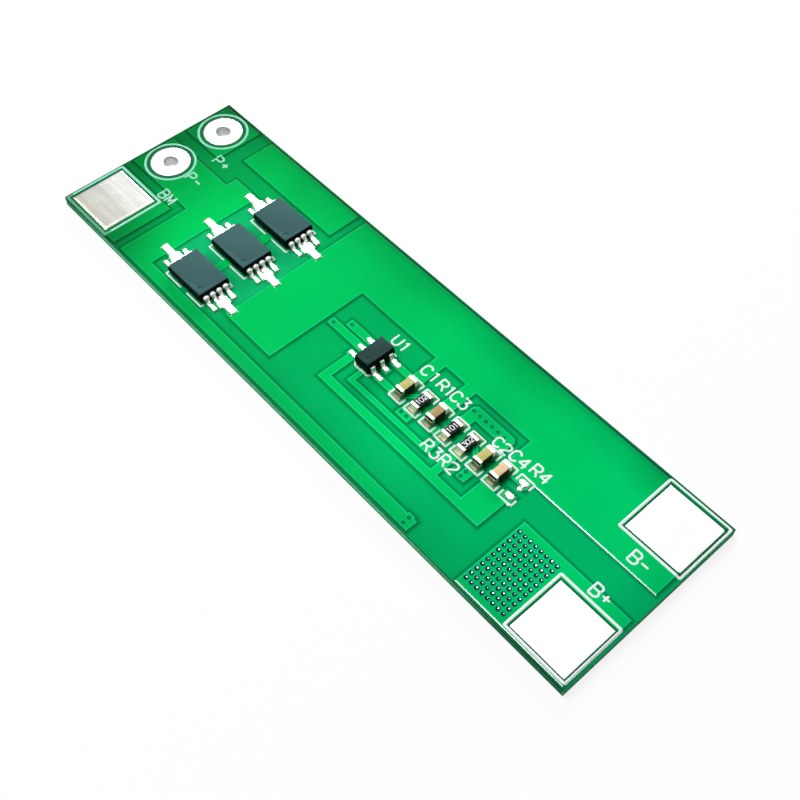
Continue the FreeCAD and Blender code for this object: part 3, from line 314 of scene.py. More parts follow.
# Painted reflection: the pad runs from grey at its lower side to near white at its upper side.
painted_reflection_run = rubbed_and_sheen.blend(rubbed_and_sheen.along("Y", -8.4, -4.4), (0.40, 0.40, 0.34, 1), (0.70, 0.70, 0.68, 1))
rubbed_and_sheen.bump(scratches, 0.000002)
rubbed_and_sheen_finish = rubbed_and_sheen.finish(
    Base_Color=rubbed_and_sheen.tinted(painted_reflection_run, rubbed_and_sheen.span(bands, 0.35, 0.7, 0.88, 1.04)),
    Roughness=rubbed_and_sheen.span(scratches, 0.3, 0.7, 0.18, 0.26))
print("rubbed pad finish:", rubbed_and_sheen_finish.name)

# %% [markdown]
# ## Moulding, ceramics, glass and ink
# The packages are black epoxy with a fine matt skin that looks slate grey in the light, and
# their sides are painted nearly black as shade. A chip capacitor is a block of brown ceramic,
# each a little different, and a chip resistor is white alumina with a black glass coat; the
# sides of the blocks and the front faces of the capacitor ends are painted dark as shade. The
# printed legend is a thick white ink, thinner at the far end and darkened by painted shade at
# the lower edge there.

# %% Finishes of the parts
GRAIN_DEPTH = 0.000003


def grained(name, light, dark, rough, grain, shine=0.5):
    stuff = Finish(name, Specular_IOR_Level=shine)
    speck = stuff.noise(grain, 3, 0.6)
    stuff.bump(speck, GRAIN_DEPTH)
    return stuff.finish(
        Base_Color=stuff.blend(stuff.span(speck, 0.3, 0.7), (*dark, 1), (*light, 1)),
        Roughness=stuff.span(speck, 0.3, 0.7, rough + 0.08, rough - 0.06))


moulding_finish = grained("moulding_compound", (0.040, 0.120, 0.122), (0.026, 0.090, 0.092),
                          0.72, 9000, 0.25)
small_moulding = grained("moulding_compound_small", (0.024, 0.064, 0.058), (0.013, 0.042, 0.038),
                         0.65, 9000, 0.12)
# Painted shade: the side faces of the packages are nearly black.
shaded_case_side = grained("moulding_side_shaded", (0.003, 0.012, 0.013), (0.002, 0.007, 0.008), 0.7, 9000, 0.04)
ceramic_tan = grained("ceramic_tan", (0.54, 0.50, 0.15), (0.45, 0.41, 0.11), 0.42, 6000)
ceramic_brown = grained("ceramic_brown", (0.42, 0.28, 0.10), (0.33, 0.21, 0.07), 0.42, 6000)
ceramic_peach = grained("ceramic_peach", (0.80, 0.60, 0.34), (0.70, 0.50, 0.26), 0.42, 6000)
# Painted shade: the dark finish for the side faces of chip blocks and the front faces of capacitor
# ends.
shaded_block_side = grained("shaded_block_side", (0.045, 0.032, 0.014), (0.022, 0.014, 0.006), 0.5, 6000, 0.2)
alumina_finish = grained("alumina", (0.80, 0.80, 0.77), (0.68, 0.68, 0.65), 0.55, 8000)
coat_finish = grained("black_glass_coat", (0.012, 0.013, 0.014), (0.006, 0.006, 0.007), 0.22, 1500,
                      0.2)
mouth_finish = grained("via_mouth", (0.003, 0.040, 0.020), (0.001, 0.015, 0.008), 0.5, 4000, 0.03)

# %% Ink
ink = Finish("legend_ink", Specular_IOR_Level=0.3, Roughness=0.6)
grain = ink.noise(7000, 3, 0.6)
thick_ink = ink.blend(ink.span(grain, 0.3, 0.7), (0.74, 0.84, 0.83, 1), (0.90, 0.96, 0.955, 1))
ink.bump(grain, 0.000004)
thin_ink = ink.blend(ink.along("X", -25.0, -19.5, 0.78, 0.0), thick_ink, (0.12, 0.62, 0.42, 1))
# Painted shade: the ink along the lower edge at the far end is darkened to green.
ink_in_shade = ink.multiply(ink.along("Y", -8.35, -8.15, 0.75, 0.0),
                          ink.along("X", -24, -20, 1.0, 0.0))
ink_finish = ink.finish(Base_Color=ink.blend(ink_in_shade, thin_ink, (0.02, 0.26, 0.11, 1)))
print("finishes of the parts made")

# %% [markdown]
# ## Finishes for the solids that stay
# Laminate, copper, via barrels and both coats of mask keep their CAD shape, so they only get
# their finish, put into the slots that their meshes already have.


# %% Dress the solids that stay
def dress(name, material):
    for slot in nodes[name].material_slots:
        slot.link = "OBJECT"
        slot.material = material


for name in nodes:
    if name.startswith("copper_bottom") or name == "via_barrels":
        dress(name, copper_finish)
    elif name in ("copper_control_tracks", "copper_transistor_lands"):
        dress(name, stained_copper)
    elif name.startswith("copper"):
        dress(name, tinned_copper)
dress("laminate", laminate_finish)
dress("solder_mask_top", mask_green)
dress("solder_mask_bottom", mask_below)
print("solids dressed:", len([n for n in nodes if n.startswith("copper")]) + 4)

# %% [markdown]
# ## Tools for reading and making meshes
# A CAD solid arrives as loose triangles. A merged copy shows where its level faces end, and
# those ends, walked round, are the outlines that slopes, solder and ink follow. New pieces
# come from lists of points and faces, ride on the board's one body, and name the solids
# that they stand for.

# %% Copies of solids, and their outlines
LEVEL_SLACK = 0.002
STRAIGHT = 0.01


def merged(name):
    copy = bmesh.new()
    copy.from_mesh(nodes[name].data)
    bmesh.ops.remove_doubles(copy, verts=copy.verts, dist=1e-7)
    return copy


def settled(shape, name):
    """The mesh of a shape that has been worked on."""
    mesh = bpy.data.meshes.new(name)
    shape.to_mesh(mesh)
    shape.free()
    return mesh


def loose_parts(copy):
    """The vertices of each loose part of a merged copy, always in the same order."""
    left, parts = dict.fromkeys(copy.verts), []
    while left:
        stack, part = [next(iter(left))], []
        del left[stack[0]]
        while stack:
            part.append(stack.pop())
            for edge in part[-1].link_edges:
                other = edge.other_vert(part[-1])
                if other in left:
                    del left[other]
                    stack.append(other)
        parts.append(part)
    return parts


def outlines(name, level, facing=1):
    """Closed loops, in mm, round the faces of a solid that lie level at that height."""
    solid = merged(name)
    in_order = [f for f in solid.faces if f.normal.z * facing > 0.9
                and abs(f.calc_center_median().z / MM - level) < LEVEL_SLACK]
    flat = set(in_order)
    following = {}
    for face in in_order:
        for corner in face.loops:
            if corner.link_loop_radial_next.face not in flat:
                a, b = corner.vert, corner.link_loop_next.vert
                following[(a if facing > 0 else b).index] = (b if facing > 0 else a).index
    solid.verts.ensure_lookup_table()
    loops = []
    while following:
        at = next(iter(following))
        loop = []
        while at in following:
            loop.append(Vector(solid.verts[at].co[:2]) / MM)
            at = following.pop(at)
        loops.append(without_straights(loop))
    solid.free()
    return loops


def sides(loop):
    return zip(loop, loop[1:] + loop[:1])


def corners(loop):
    """Each point of a closed loop, with the line that comes to it and the one that goes on."""
    return [(here, here - before, after - here)
            for before, here, after in zip(loop[-1:] + loop, loop, loop[1:] + loop[:1])]


def without_straights(loop):
    return [here for here, come, go in corners(loop)
            if abs(come.normalized().cross(go.normalized())) > STRAIGHT]


def area(loop):
    return 0.5 * sum(a.cross(b) for a, b in sides(loop))


# %% New pieces
def piece_from(name, points, faces, material, slot=None, replaced=(), smooth=35):
    """A piece of the board from points in mm."""
    mesh = bpy.data.meshes.new(name)
    mesh.from_pydata([Vector(p) * MM for p in points], [], faces)
    return piece_of(name, mesh, material, replaced, smooth)


def piece_of(name, mesh, material, replaced=(), smooth=35):
    mesh.materials.clear()
    mesh.materials.append(material)
    mesh.polygons.foreach_set("use_smooth", [True] * len(mesh.polygons))
    if smooth:
        mesh.set_sharp_from_angle(angle=math.radians(smooth))
    piece = new_object(name, mesh)
    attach(piece, "root")
    if replaced:
        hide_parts(*replaced)
    return piece


def swept(sections, inside_out=False):
    """A skin over closed sections that follow each other round, as points and faces."""
    count, faces = len(sections[0]), []
    for i in range(len(sections)):
        a, b = i * count, (i + 1) % len(sections) * count
        for j in range(count):
            k = (j + 1) % count
            faces.append((a + k, a + j, b + j, b + k) if inside_out else
                         (a + j, a + k, b + k, b + j))
    return [p for section in sections for p in section], faces


def joined(parts):
    points, faces = [], []
    for more, fresh in parts:
        faces += [tuple(i + len(points) for i in f) for f in fresh]
        points += more
    return points, faces


# %% [markdown]
# ## Soft slopes of the mask
# Lacquer can't make a step. Where it runs off a copper edge it leaves a rounded slope, and
# that slope is what catches a thin line of light beside a dark one. A strip with a rounded
# section is laid along each copper outline, mitred at its corners and closed underneath.
# Sweeping one section is lighter than softening the whole mask, and keeps the flats flat.

# %% Mask slopes
SLOPE = ((-0.05, 1.0001), (-0.02, 1.0022), (0.03, 1.0022), (0.048, 0.997), (0.060, 0.9905),
         (0.135, 0.9435), (0.148, 0.937), (0.175, 0.9338), (0.28, 0.9325), (0.42, 0.9302))
EDGE = Vector((29.99, 8.99))
RELIEF = ("copper_b_minus", "copper_b_plus", "copper_p_plus", "copper_upper_pour",
          "copper_p_minus", "copper_bm", "copper_control_tracks", "copper_transistor_lands")
STRIP_MIN_LENGTH = 5
SHARPEST_MITRE = 0.3
WET_FROM = 17.9


def outward(loop):
    """The mitre at each corner of a loop that runs anticlockwise."""
    mitres = []
    for _, come, go in corners(loop):
        first, second = come.normalized(), go.normalized()
        one, two = Vector((first.y, -first.x)), Vector((second.y, -second.x))
        mitres.append((one + two) / max(SHARPEST_MITRE, 1 + one.dot(two)))
    return mitres


def on_board(p):
    return Vector((max(-EDGE.x, min(EDGE.x, p.x)), max(-EDGE.y, min(EDGE.y, p.y))))


def slope_strips():
    section = SLOPE + ((SLOPE[-1][0], UNDER_THE_MASK), (SLOPE[0][0], UNDER_THE_MASK))
    strips = []
    for name in RELIEF:
        for loop in outlines(name, COPPER_TOP):
            size = max((a - b).length for a in loop for b in loop)
            if area(loop) > 0 and not (name.endswith("lands") and size < STRIP_MIN_LENGTH):
                strips.append(swept([
                    [(*on_board(corner + mitre * out), up) for out, up in section]
                    for corner, mitre in zip(loop, outward(loop))]))
    return joined(strips)


def wet_where_it_ran(piece, steep):
    """Keeps the wet finish on the steep faces of the long edges that the coat ran over."""
    count = len(SLOPE) + 2
    piece.data.materials.append(mask_green)
    for face in piece.data.polygons:
        ran = face.center.x > WET_FROM * MM and face.normal.y < -0.3
        face.material_index = 0 if ran and face.index % count in steep else 1


slopes = piece_from("mask_slopes", *slope_strips(), mask_wet, "solder_mask")
wet_where_it_ran(slopes, range(2, 7))
print("mask slopes:", len(slopes.data.polygons), "faces")

# %% [markdown]
# ## Rounded packages and chip blocks
# Moulded cases, formed leads and fired blocks have no sharp edges. A copy of each solid is
# merged and rid of its cutting lines, and a Bevel with hardened normals rounds its edges
# while its flats stay flat.

# %% Softened copies
FLAT_ANGLE, EDGE_ANGLE = math.radians(1), math.radians(20)
FOOT_TOP = 1.3
LEAD_WIDER = 1.2


def widened(copy, share):
    """Draws each lead of the copy wider, apart from its foot."""
    for lead in loose_parts(copy):
        middle = (min(v.co.y for v in lead) + max(v.co.y for v in lead)) / 2
        for vert in lead:
            if vert.co.z > FOOT_TOP * MM:
                vert.co.y = middle + (vert.co.y - middle) * share


def softened(name, round_mm, material, segments=2, wider=1.0):
    copy = merged(name)
    if wider != 1.0:
        widened(copy, wider)
    bmesh.ops.dissolve_limit(copy, angle_limit=FLAT_ANGLE, verts=copy.verts, edges=copy.edges)
    piece = piece_of(name + "_round", settled(copy, name), material, [name], smooth=0)
    bevel = piece.modifiers.new("rounded edges", "BEVEL")
    bevel.width = round_mm * MM
    bevel.segments = segments
    bevel.limit_method = "ANGLE"
    bevel.angle_limit = EDGE_ANGLE
    bevel.harden_normals = True
    return piece


def shade_the_sides(piece, material, how_far, least=0.9):
    """The faces whose normal points far enough to one side get a darker finish: painted shade."""
    piece.data.materials.append(material)
    for face in piece.data.polygons:
        face.material_index = 1 if how_far(face.normal) > least else 0


CERAMICS = {"c1": ceramic_tan, "c2": ceramic_tan, "c3": ceramic_brown, "c4": ceramic_peach}
# Painted shade: the sides of the cases, the side faces of the blocks and the front faces of the
# capacitor ends get near black finishes.
for part in ("q1", "q2", "q3", "u1"):
    case = softened(part + "_case", 0.05, small_moulding if part == "u1" else moulding_finish)
    shade_the_sides(case, shaded_case_side, lambda n: 1 - abs(n.z), 0.3)
    softened(part + "_leads", 0.03, lead_finish,
             wider=1.0 if part == "u1" else LEAD_WIDER)
for part, ceramic in CERAMICS.items():
    shade_the_sides(softened(part + "_ceramic", 0.03, ceramic), shaded_block_side,
               lambda n: abs(n.x))
    shade_the_sides(softened(part + "_end_caps", 0.05, end_finish, 3), shaded_block_side,
               lambda n: -n.y)
for part in ("r1", "r2", "r3"):
    shade_the_sides(softened(part + "_substrate", 0.02, alumina_finish), shaded_block_side,
               lambda n: abs(n.x))
    softened(part + "_coat", 0.014, coat_finish)
    softened(part + "_ends", 0.035, end_finish, 3)

# %% [markdown]
# ## Solder
# Molten solder wets a land up to its edge, swells over it and climbs the metal that stands
# in it. The same rule makes every joint: inside the land's outline, with its corners
# rounded, the height rises over a short rim, and rises again near a foot or an end face.
# A triangle net holds that height, and a level base closes it.

# %% Plan tools
STEP = 0.075
CLEAR = 0.8


def rounded(loop, radius, steps=5):
    """A loop with an arc in place of each corner."""
    smooth_loop = []
    for here, come, go in corners(loop):
        reach = min(radius, come.length * 0.48, go.length * 0.48)
        start, end = here - come.normalized() * reach, here + go.normalized() * reach
        for i in range(steps + 1):
            t = i / steps
            smooth_loop.append(start * (1 - t) ** 2 + here * 2 * t * (1 - t) + end * t ** 2)
    return smooth_loop


def divided(loop, step):
    fine = []
    for a, b in sides(loop):
        pieces = max(1, round((b - a).length / step))
        fine += [a.lerp(b, i / pieces) for i in range(pieces)]
    return fine


def to_segment(p, a, b):
    line = b - a
    t = max(0.0, min(1.0, (p - a).dot(line) / max(line.length_squared, 1e-12)))
    return (p - a - line * t).length


def to_loop(p, loop):
    return min(to_segment(p, a, b) for a, b in sides(loop))


def inside(p, loop):
    crossings = [(a.y > p.y) != (b.y > p.y)
                 and p.x < a.x + (p.y - a.y) / (b.y - a.y) * (b.x - a.x) for a, b in sides(loop)]
    return sum(crossings) % 2 == 1


def to_box(p, box):
    """Distance in plan from a point to a box of (low x, low y, high x, high y)."""
    dx = max(box[0] - p.x, 0, p.x - box[2])
    dy = max(box[1] - p.y, 0, p.y - box[3])
    return math.hypot(dx, dy)


# %% A pool of solder
def pool(loop, height, base=COPPER_TOP, step=STEP):
    """Points and faces of a closed pool: height(point, distance from the rim) in mm."""
    rim = divided(loop, step)
    low_x, high_x = min(p.x for p in rim), max(p.x for p in rim)
    low_y, high_y = min(p.y for p in rim), max(p.y for p in rim)
    spots = list(rim)
    ring = step * 0.45
    for p, m in zip(rim, outward(rim)):
        q = p - m.normalized() * ring
        if inside(q, rim) and to_loop(q, rim) > ring * CLEAR:
            spots.append(q)
    rows = int((high_y - low_y) / step) + 1
    for row in range(rows + 1):
        y = low_y + row * step
        x = low_x + (row % 2) * step / 2
        while x < high_x:
            p = Vector((x, y))
            if inside(p, rim) and to_loop(p, rim) > step * CLEAR:
                spots.append(p)
            x += step
    ring_edges = [(i, (i + 1) % len(rim)) for i in range(len(rim))]
    net, _, faces = delaunay_2d_cdt(spots, ring_edges, [], 1, 1e-6)[:3]
    points = [(p.x, p.y, base + height(p, to_loop(p, rim))) for p in net]
    points += [(p.x, p.y, base) for p in net]
    count = len(net)
    shell = [tuple(f) for f in faces]
    floor = [tuple(i + count for i in reversed(f)) for f in faces]
    used = dict.fromkeys(side for face in shell for side in sides(face))
    wall = [(b, a, a + count, b + count) for a, b in used if (b, a) not in used]
    return points, shell + floor + wall


def swell(distance, width):
    """From 0 at the rim to 1, as a quarter of a circle."""
    t = min(1.0, distance / width)
    return math.sqrt(max(0.0, 1 - (1 - t) ** 2))


# %% Feet and end faces that solder climbs
def islands(name):
    """The box of each loose part of a solid, in mm: (low corner, high corner)."""
    solid, boxes = merged(name), []
    for part in loose_parts(solid):
        spots = [vert.co / MM for vert in part]
        boxes.append([[pick(p[i] for p in spots) for i in range(3)] for pick in (min, max)])
    solid.free()
    return boxes


def feet(name, length):
    """Plan boxes of the flat ends of gull-wing leads: the outer length of each."""
    middle = sum(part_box(name)[i].x for i in (0, 1)) / 2 / MM
    plan = []
    for low, high in islands(name):
        if (low[0] + high[0]) / 2 < middle:
            plan.append((low[0], low[1], low[0] + length, high[1]))
        else:
            plan.append((high[0] - length, low[1], high[0], high[1]))
    return plan


def joint_height(stands, bed, climb, reach, rim, seed):
    """Height rule of a joint: a swelling bed that climbs towards what stands in it."""
    def height(p, distance):
        near = min([to_box(p, box) for box in stands] or [reach])
        rise = climb * max(0.0, 1 - near / reach) ** 2
        wave = noise.noise(Vector((p.x * 3, p.y * 3, seed))) * 0.14 + 1
        return swell(distance, rim) * (bed * wave + rise)
    return height


# %% Solder under the leads
def solder_leads(part, foot_length, seed):
    name = part + "_solder"
    stands = feet(part + "_leads", foot_length)
    height = joint_height(stands, bed=0.175, climb=0.04, reach=0.2, rim=0.13, seed=seed)
    pools = [pool(rounded(loop, 0.21), height) for loop in outlines(name, COPPER_TOP, -1)]
    return piece_from(name + "_pool", *joined(pools), solder_finish, "solder", [name], 60)


for part, foot, seed in (("q1", 0.55, 0), ("q2", 0.55, 1), ("q3", 0.55, 2), ("u1", 0.45, 7)):
    made = solder_leads(part, foot, seed)
    print(made.name, len(made.data.polygons), "faces")

# %% [markdown]
# ### Knees of the leads
# The forming tool presses a lead round and broad where it turns down beside the case. The
# tin there is duller than on the feet, but it faces up and catches the light. A knee is a
# small flattened ball on each shoulder, built ring by ring.

# %% Knees
KNEE = (0.240, 0.280, 0.200)
KNEE_OUT, KNEE_LEVEL = 0.165, 1.530
KNEE_TURNS, KNEE_RINGS = 14, 8


def knee(x, y):
    points = [(x, y, KNEE_LEVEL + KNEE[2])]
    for ring in range(1, KNEE_RINGS):
        fall = math.pi * ring / KNEE_RINGS
        for turn in range(KNEE_TURNS):
            a = 2 * math.pi * turn / KNEE_TURNS
            points.append((x + KNEE[0] * math.sin(fall) * math.cos(a),
                           y + KNEE[1] * math.sin(fall) * math.sin(a),
                           KNEE_LEVEL + KNEE[2] * math.cos(fall)))
    points.append((x, y, KNEE_LEVEL - KNEE[2]))
    last = len(points) - 1
    faces = []
    for i in range(KNEE_TURNS):
        j = (i + 1) % KNEE_TURNS
        faces += [(0, 1 + i, 1 + j), (last, last - KNEE_TURNS + j, last - KNEE_TURNS + i)]
        faces += [(1 + k * KNEE_TURNS + i, 1 + (k + 1) * KNEE_TURNS + i,
                   1 + (k + 1) * KNEE_TURNS + j, 1 + k * KNEE_TURNS + j)
                  for k in range(KNEE_RINGS - 2)]
    return points, faces


for part in ("q1", "q2", "q3"):
    case = [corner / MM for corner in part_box(part + "_case")]
    made = [knee(case[1].x + KNEE_OUT if low[0] > sum(c.x for c in case) / 2
                 else case[0].x - KNEE_OUT, (low[1] + high[1]) / 2)
            for low, high in islands(part + "_leads")]
    piece_from(part + "_lead_knees", *joined(made), knee_tin, "lead_frame", (), 180)
print("knees on each transistor:", len(made))

# %% [markdown]
# ## Solder at the chip parts
# At a chip the solder climbs the metal end face and leans against it like a little ramp.
# It is the same rule, with the end caps as what stands in it and a higher climb at the
# capacitors, whose ends are taller. These joints are painted a dark olive, darker than the
# others, as shade for the dark green board that they mirror.

# %% Chip solder
CHIP_NAMES = ("c1", "r1", "c3", "r3", "r2", "c2", "c4")
CHIP_CLIMB = 0.40


def solder_chips():
    stands = {}
    for part in CHIP_NAMES:
        for low, high in islands(part + ("_end_caps" if part[0] == "c" else "_ends")):
            stands[(low[0], low[1], high[0], high[1])] = high[2]
    pools = []
    for seed, loop in enumerate(outlines("chip_solder", COPPER_TOP, -1)):
        middle = sum(loop, Vector((0, 0))) / len(loop)
        box = min(stands, key=lambda b: to_box(middle, b))
        climb = (stands[box] - COPPER_TOP) * CHIP_CLIMB
        height = joint_height([box], bed=0.07, climb=climb, reach=0.46, rim=0.14, seed=seed * 1.7)
        pools.append(pool(rounded(loop, 0.14), height, step=0.06))
    return pools


chip_joints = piece_from("chip_solder_pools", *joined(solder_chips()), shaded_chip_solder, "solder",
                         ["chip_solder"], 60)
print("chip solder:", len(chip_joints.data.polygons), "faces")

# %% [markdown]
# ## The empty place
# Nothing was fitted at the last place of the chip row, and its two lands carry loose lumps
# of solder. Their outlines are drawn as they happened to freeze, with a droplet
# beside the upper one.

# %% Loose lumps of solder
LUMPS = (
    (((16.72, 0.02), (17.10, -0.06), (17.50, -0.02), (17.62, 0.20), (17.60, 0.50), (17.40, 0.60),
      (16.95, 0.56), (16.70, 0.40)), 0.22, 0.22),
    (((16.74, -1.40), (17.00, -1.56), (17.45, -1.58), (17.66, -1.40), (17.62, -1.04),
      (17.30, -0.92), (16.88, -0.96), (16.70, -1.14)), 0.20, 0.2),
)
DROPLETS = (
    (((16.98, -0.42), (17.24, -0.52), (17.50, -0.40), (17.56, -0.18), (17.34, -0.04),
      (17.06, -0.10)), 0.15, 0.14),
    (((17.42, -1.92), (17.66, -1.98), (17.84, -1.86), (17.82, -1.66), (17.58, -1.60)), 0.12, 0.12),
)


def lump(corners, top, rim, seed, base):
    loop = rounded([Vector(c) for c in corners], 0.2)
    height = joint_height([], bed=top, climb=0, reach=1, rim=rim, seed=seed)
    return pool(loop, height, base, 0.05)


lumps = [lump(*shape, seed * 5.3, COPPER_TOP) for seed, shape in enumerate(LUMPS)]
lumps += [lump(*shape, seed * 3.1, MASK_ON_LAMINATE - 0.01)
          for seed, shape in enumerate(DROPLETS)]
piece_from("r4_solder_lumps", *joined(lumps), solder_finish, "solder", ["r4_solder"], 60)
print("loose lumps:", len(lumps))

# %% [markdown]
# ## Weld pads
# The three square pads were levelled with hot air. The tin on them is a few hundredths of a
# millimetre thick, rounded off at the rim and never quite flat.


# %% Tin on the pads
TIN_DEPTH, TIN_WAVE, TIN_RIM = 0.055, 0.012, 0.22


def weld_pad(name, finish, seed):
    def height(p, distance):
        wave = noise.noise(Vector((p.x * 0.8, p.y * 0.8, seed)))
        return swell(distance, TIN_RIM) * (TIN_DEPTH + TIN_WAVE * wave)
    tin = pool(rounded(outlines(name, PAD_TOP)[0], 0.12), height, step=0.17)
    return piece_from(name + "_tin", *tin, finish, "tin", [name], 60)


PADS = (("b_minus_pad", tin_finish, 3.0), ("b_plus_pad", tin_finish, 5.0),
        ("bm_pad", rubbed_and_sheen_finish, 8.0))
print("weld pads:", [weld_pad(*pad).name for pad in PADS])

# %% [markdown]
# ### The mask beside a pad
# The mask ends just outside a pad and stands a little proud there. A fine dark line runs
# round each pad inside its frame: painted shade in the gap between the pad and its mask. It is
# a flat strip with mitred corners, laid on the mask.

# %% Dark lips round the pads: painted shade
rim_shade = Finish("mask_rim_shade", Base_Color=(0.0, 0.105, 0.045, 1), Roughness=0.25,
             Specular_IOR_Level=0.1)
rim_shade_finish = rim_shade.finish()
LIP = ((0.0, 1.0), (0.015, 1.006), (0.10, 1.005), (0.14, 1.0008))


def lip_round(name):
    low, high = islands(name)[0]
    points = [(low[0] - out if i in (0, 3) else high[0] + out,
               low[1] - out if i < 2 else high[1] + out, z) for out, z in LIP for i in range(4)]
    faces = [(4 * k + i, 4 * k + (i + 1) % 4, 4 * k + 4 + (i + 1) % 4, 4 * k + 4 + i)
             for k in range(len(LIP) - 1) for i in range(4)]
    return points, faces


lips = piece_from("mask_lips", *joined([lip_round(name) for name, _, _ in PADS]), rim_shade_finish,
                  "solder_mask")
print("lips:", len(lips.data.polygons), "faces")

# %% [markdown]
# ## Round terminals
# A terminal is a plated hole with a wide land on both sides. Solder crowns the upper land
# and runs into the hole. Its steep faces, the wall of the hole among them, are rougher and
# painted darker as shade. The section is turned round the hole's axis in many small steps, so
# that the rim looks round from close by. The mask has its dark lip here too, painted shade
# turned in the same way.

# %% Terminals
TERMINAL_SECTION = (
    (1.80, 0.90), (1.80, 0.995), (1.785, 1.025), (1.73, 1.052), (1.64, 1.072), (1.50, 1.088),
    (1.32, 1.097), (1.16, 1.097), (0.98, 1.088), (0.82, 1.070), (0.71, 1.040), (0.645, 0.995),
    (0.61, 0.94), (0.60, 0.88), (0.60, 0.09), (0.62, 0.03), (0.68, 0.006), (0.78, 0.0),
    (1.73, 0.0), (1.79, 0.012), (1.80, 0.04), (1.80, 0.10), (0.80, 0.10), (0.80, 0.90))
TURNS = 96


def turned(section, x, y, turns):
    around = [2 * math.pi * i / turns for i in range(turns)]
    return swept([[(x + r * math.cos(a), y + r * math.sin(a), z) for r, z in section]
                  for a in around], inside_out=True)


def centre(name):
    low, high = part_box(name)
    return (low.x + high.x) / 2 / MM, (low.y + high.y) / 2 / MM


TERMINALS = ("p_plus_terminal", "p_minus_terminal")
for name in TERMINALS:
    terminal = piece_from(name + "_turned", *turned(TERMINAL_SECTION, *centre(name), TURNS),
                          land_tin, "tin", [name], 40)
    # Painted shade: the steep faces take the darker tin.
    shade_the_sides(terminal, shaded_hole_tin, lambda n: 1 - abs(n.z), 0.12)
# Painted shade: the same dark lip round each terminal.
ROUND_LIP = ((1.80, 0.99), (1.80, 1.0), (1.815, 1.006), (1.97, 1.005), (2.02, 1.0008),
             (2.02, 0.99))
piece_from("terminal_lips", *joined([turned(ROUND_LIP, *centre(name), TURNS)
                                     for name in TERMINALS]), rim_shade_finish, "solder_mask")
print("terminals at", [centre(name) for name in TERMINALS])

# %% [markdown]
# ## Printed lines
# The legend is pushed through a screen in one pass, so it is one thin skin that follows the
# mask up and down its slopes. Each stroke starts as a bare polyline. A Geometry Nodes tree
# walks along it, gives it a low rounded section with round ends, and drops every point
# onto the surface below. The tree has sizes as inputs, so one tree prints all of it.


# %% Making a tree
def new_tree(name, inputs):
    """A Geometry Nodes tree: the tree, a way to add nodes to it, and its named inputs."""
    tree = bpy.data.node_groups.new(name, "GeometryNodeTree")
    sockets = tree.interface
    for title, kind, value in (("Geometry", "Geometry", None), *inputs):
        socket = sockets.new_socket(name=title, in_out="INPUT", socket_type="NodeSocket" + kind)
        if value is not None:
            socket.default_value = value
    sockets.new_socket(name="Geometry", in_out="OUTPUT", socket_type="NodeSocketGeometry")
    add = partial(new_node, tree)
    return tree, add, add("NodeGroupInput").outputs


def end_tree(add, shape, material):
    shape = add("GeometryNodeRealizeInstances", Geometry=shape).outputs[0]
    shape = add("GeometryNodeSetMaterial", Geometry=shape, Material=material).outputs[0]
    add("NodeGroupOutput", i0=shape)


def math_node(add, operation, first, second=0.0):
    return add("ShaderNodeMath", {"operation": operation}, i0=first, i1=second).outputs[0]


# %% The tree that prints
BLUNT_END = 0.06


def end_shape(add, half):
    """The width along a line: whole in the middle and round at both ends."""
    along = add("GeometryNodeSplineParameter").outputs["Length"]
    whole = add("GeometryNodeSplineLength").outputs["Length"]
    to_end = math_node(add, "MINIMUM", along, math_node(add, "SUBTRACT", whole, along))
    share = math_node(add, "MINIMUM", math_node(add, "DIVIDE", to_end, half), 1.0)
    short = math_node(add, "POWER", math_node(add, "SUBTRACT", 1.0, share), 2.0)
    left = math_node(add, "MAXIMUM", math_node(add, "SUBTRACT", 1.0, short), BLUNT_END)
    closed = add("GeometryNodeInputSplineCyclic").outputs[0]
    widths = {"Switch": closed, "False": math_node(add, "SQRT", left), "True": 1.0}
    return add("GeometryNodeSwitch", {"input_type": "FLOAT"}, **widths).outputs[0]


def landed(add, surface):
    """Every point, dropped onto a surface by its own height."""
    parts = add("ShaderNodeSeparateXYZ", Vector=add("GeometryNodeInputPosition").outputs[0]).outputs
    above = add("ShaderNodeCombineXYZ", X=parts[0], Y=parts[1], Z=3 * MM).outputs[0]
    ray = add("GeometryNodeRaycast", Target_Geometry=surface, Source_Position=above,
              Ray_Direction=(0, 0, -1), Ray_Length=6 * MM)
    lift = add("ShaderNodeSeparateXYZ", Vector=ray.outputs["Hit Position"]).outputs[2]
    height = math_node(add, "ADD", lift, parts[2])
    return add("ShaderNodeCombineXYZ", X=parts[0], Y=parts[1], Z=height).outputs[0]


def printing_tree():
    tree, add, given = new_tree("printed line", (
        ("Line width", "Float", 0.17 * MM), ("Ink height", "Float", 0.018 * MM),
        ("Step", "Float", 0.05 * MM), ("Surface", "Object", None), ("Ink", "Material", None)))
    half = math_node(add, "MULTIPLY", given["Line width"], 0.5)
    path = add("GeometryNodeMeshToCurve", Mesh=given["Geometry"]).outputs[0]
    path = add("GeometryNodeResampleCurve", {"mode": "LENGTH"}, Curve=path,
               Length=given["Step"]).outputs[0]
    path = add("GeometryNodeSetCurveNormal", {"mode": "Z_UP"}, Curve=path).outputs[0]
    path = add("GeometryNodeSetCurveRadius", Curve=path, Radius=end_shape(add, half)).outputs[0]
    section = add("GeometryNodeCurvePrimitiveCircle", Resolution=10, Radius=1.0).outputs["Curve"]
    size = add("ShaderNodeCombineXYZ", X=half, Y=given["Ink height"], Z=1.0).outputs[0]
    section = add("GeometryNodeTransform", Geometry=section, Scale=size).outputs[0]
    line = add("GeometryNodeCurveToMesh", Curve=path, Profile_Curve=section,
               Fill_Caps=True).outputs[0]
    surface = add("GeometryNodeObjectInfo", Object=given["Surface"]).outputs["Geometry"]
    line = add("GeometryNodeSetPosition", Geometry=line, Position=landed(add, surface)).outputs[0]
    end_tree(add, line, given["Ink"])
    return tree


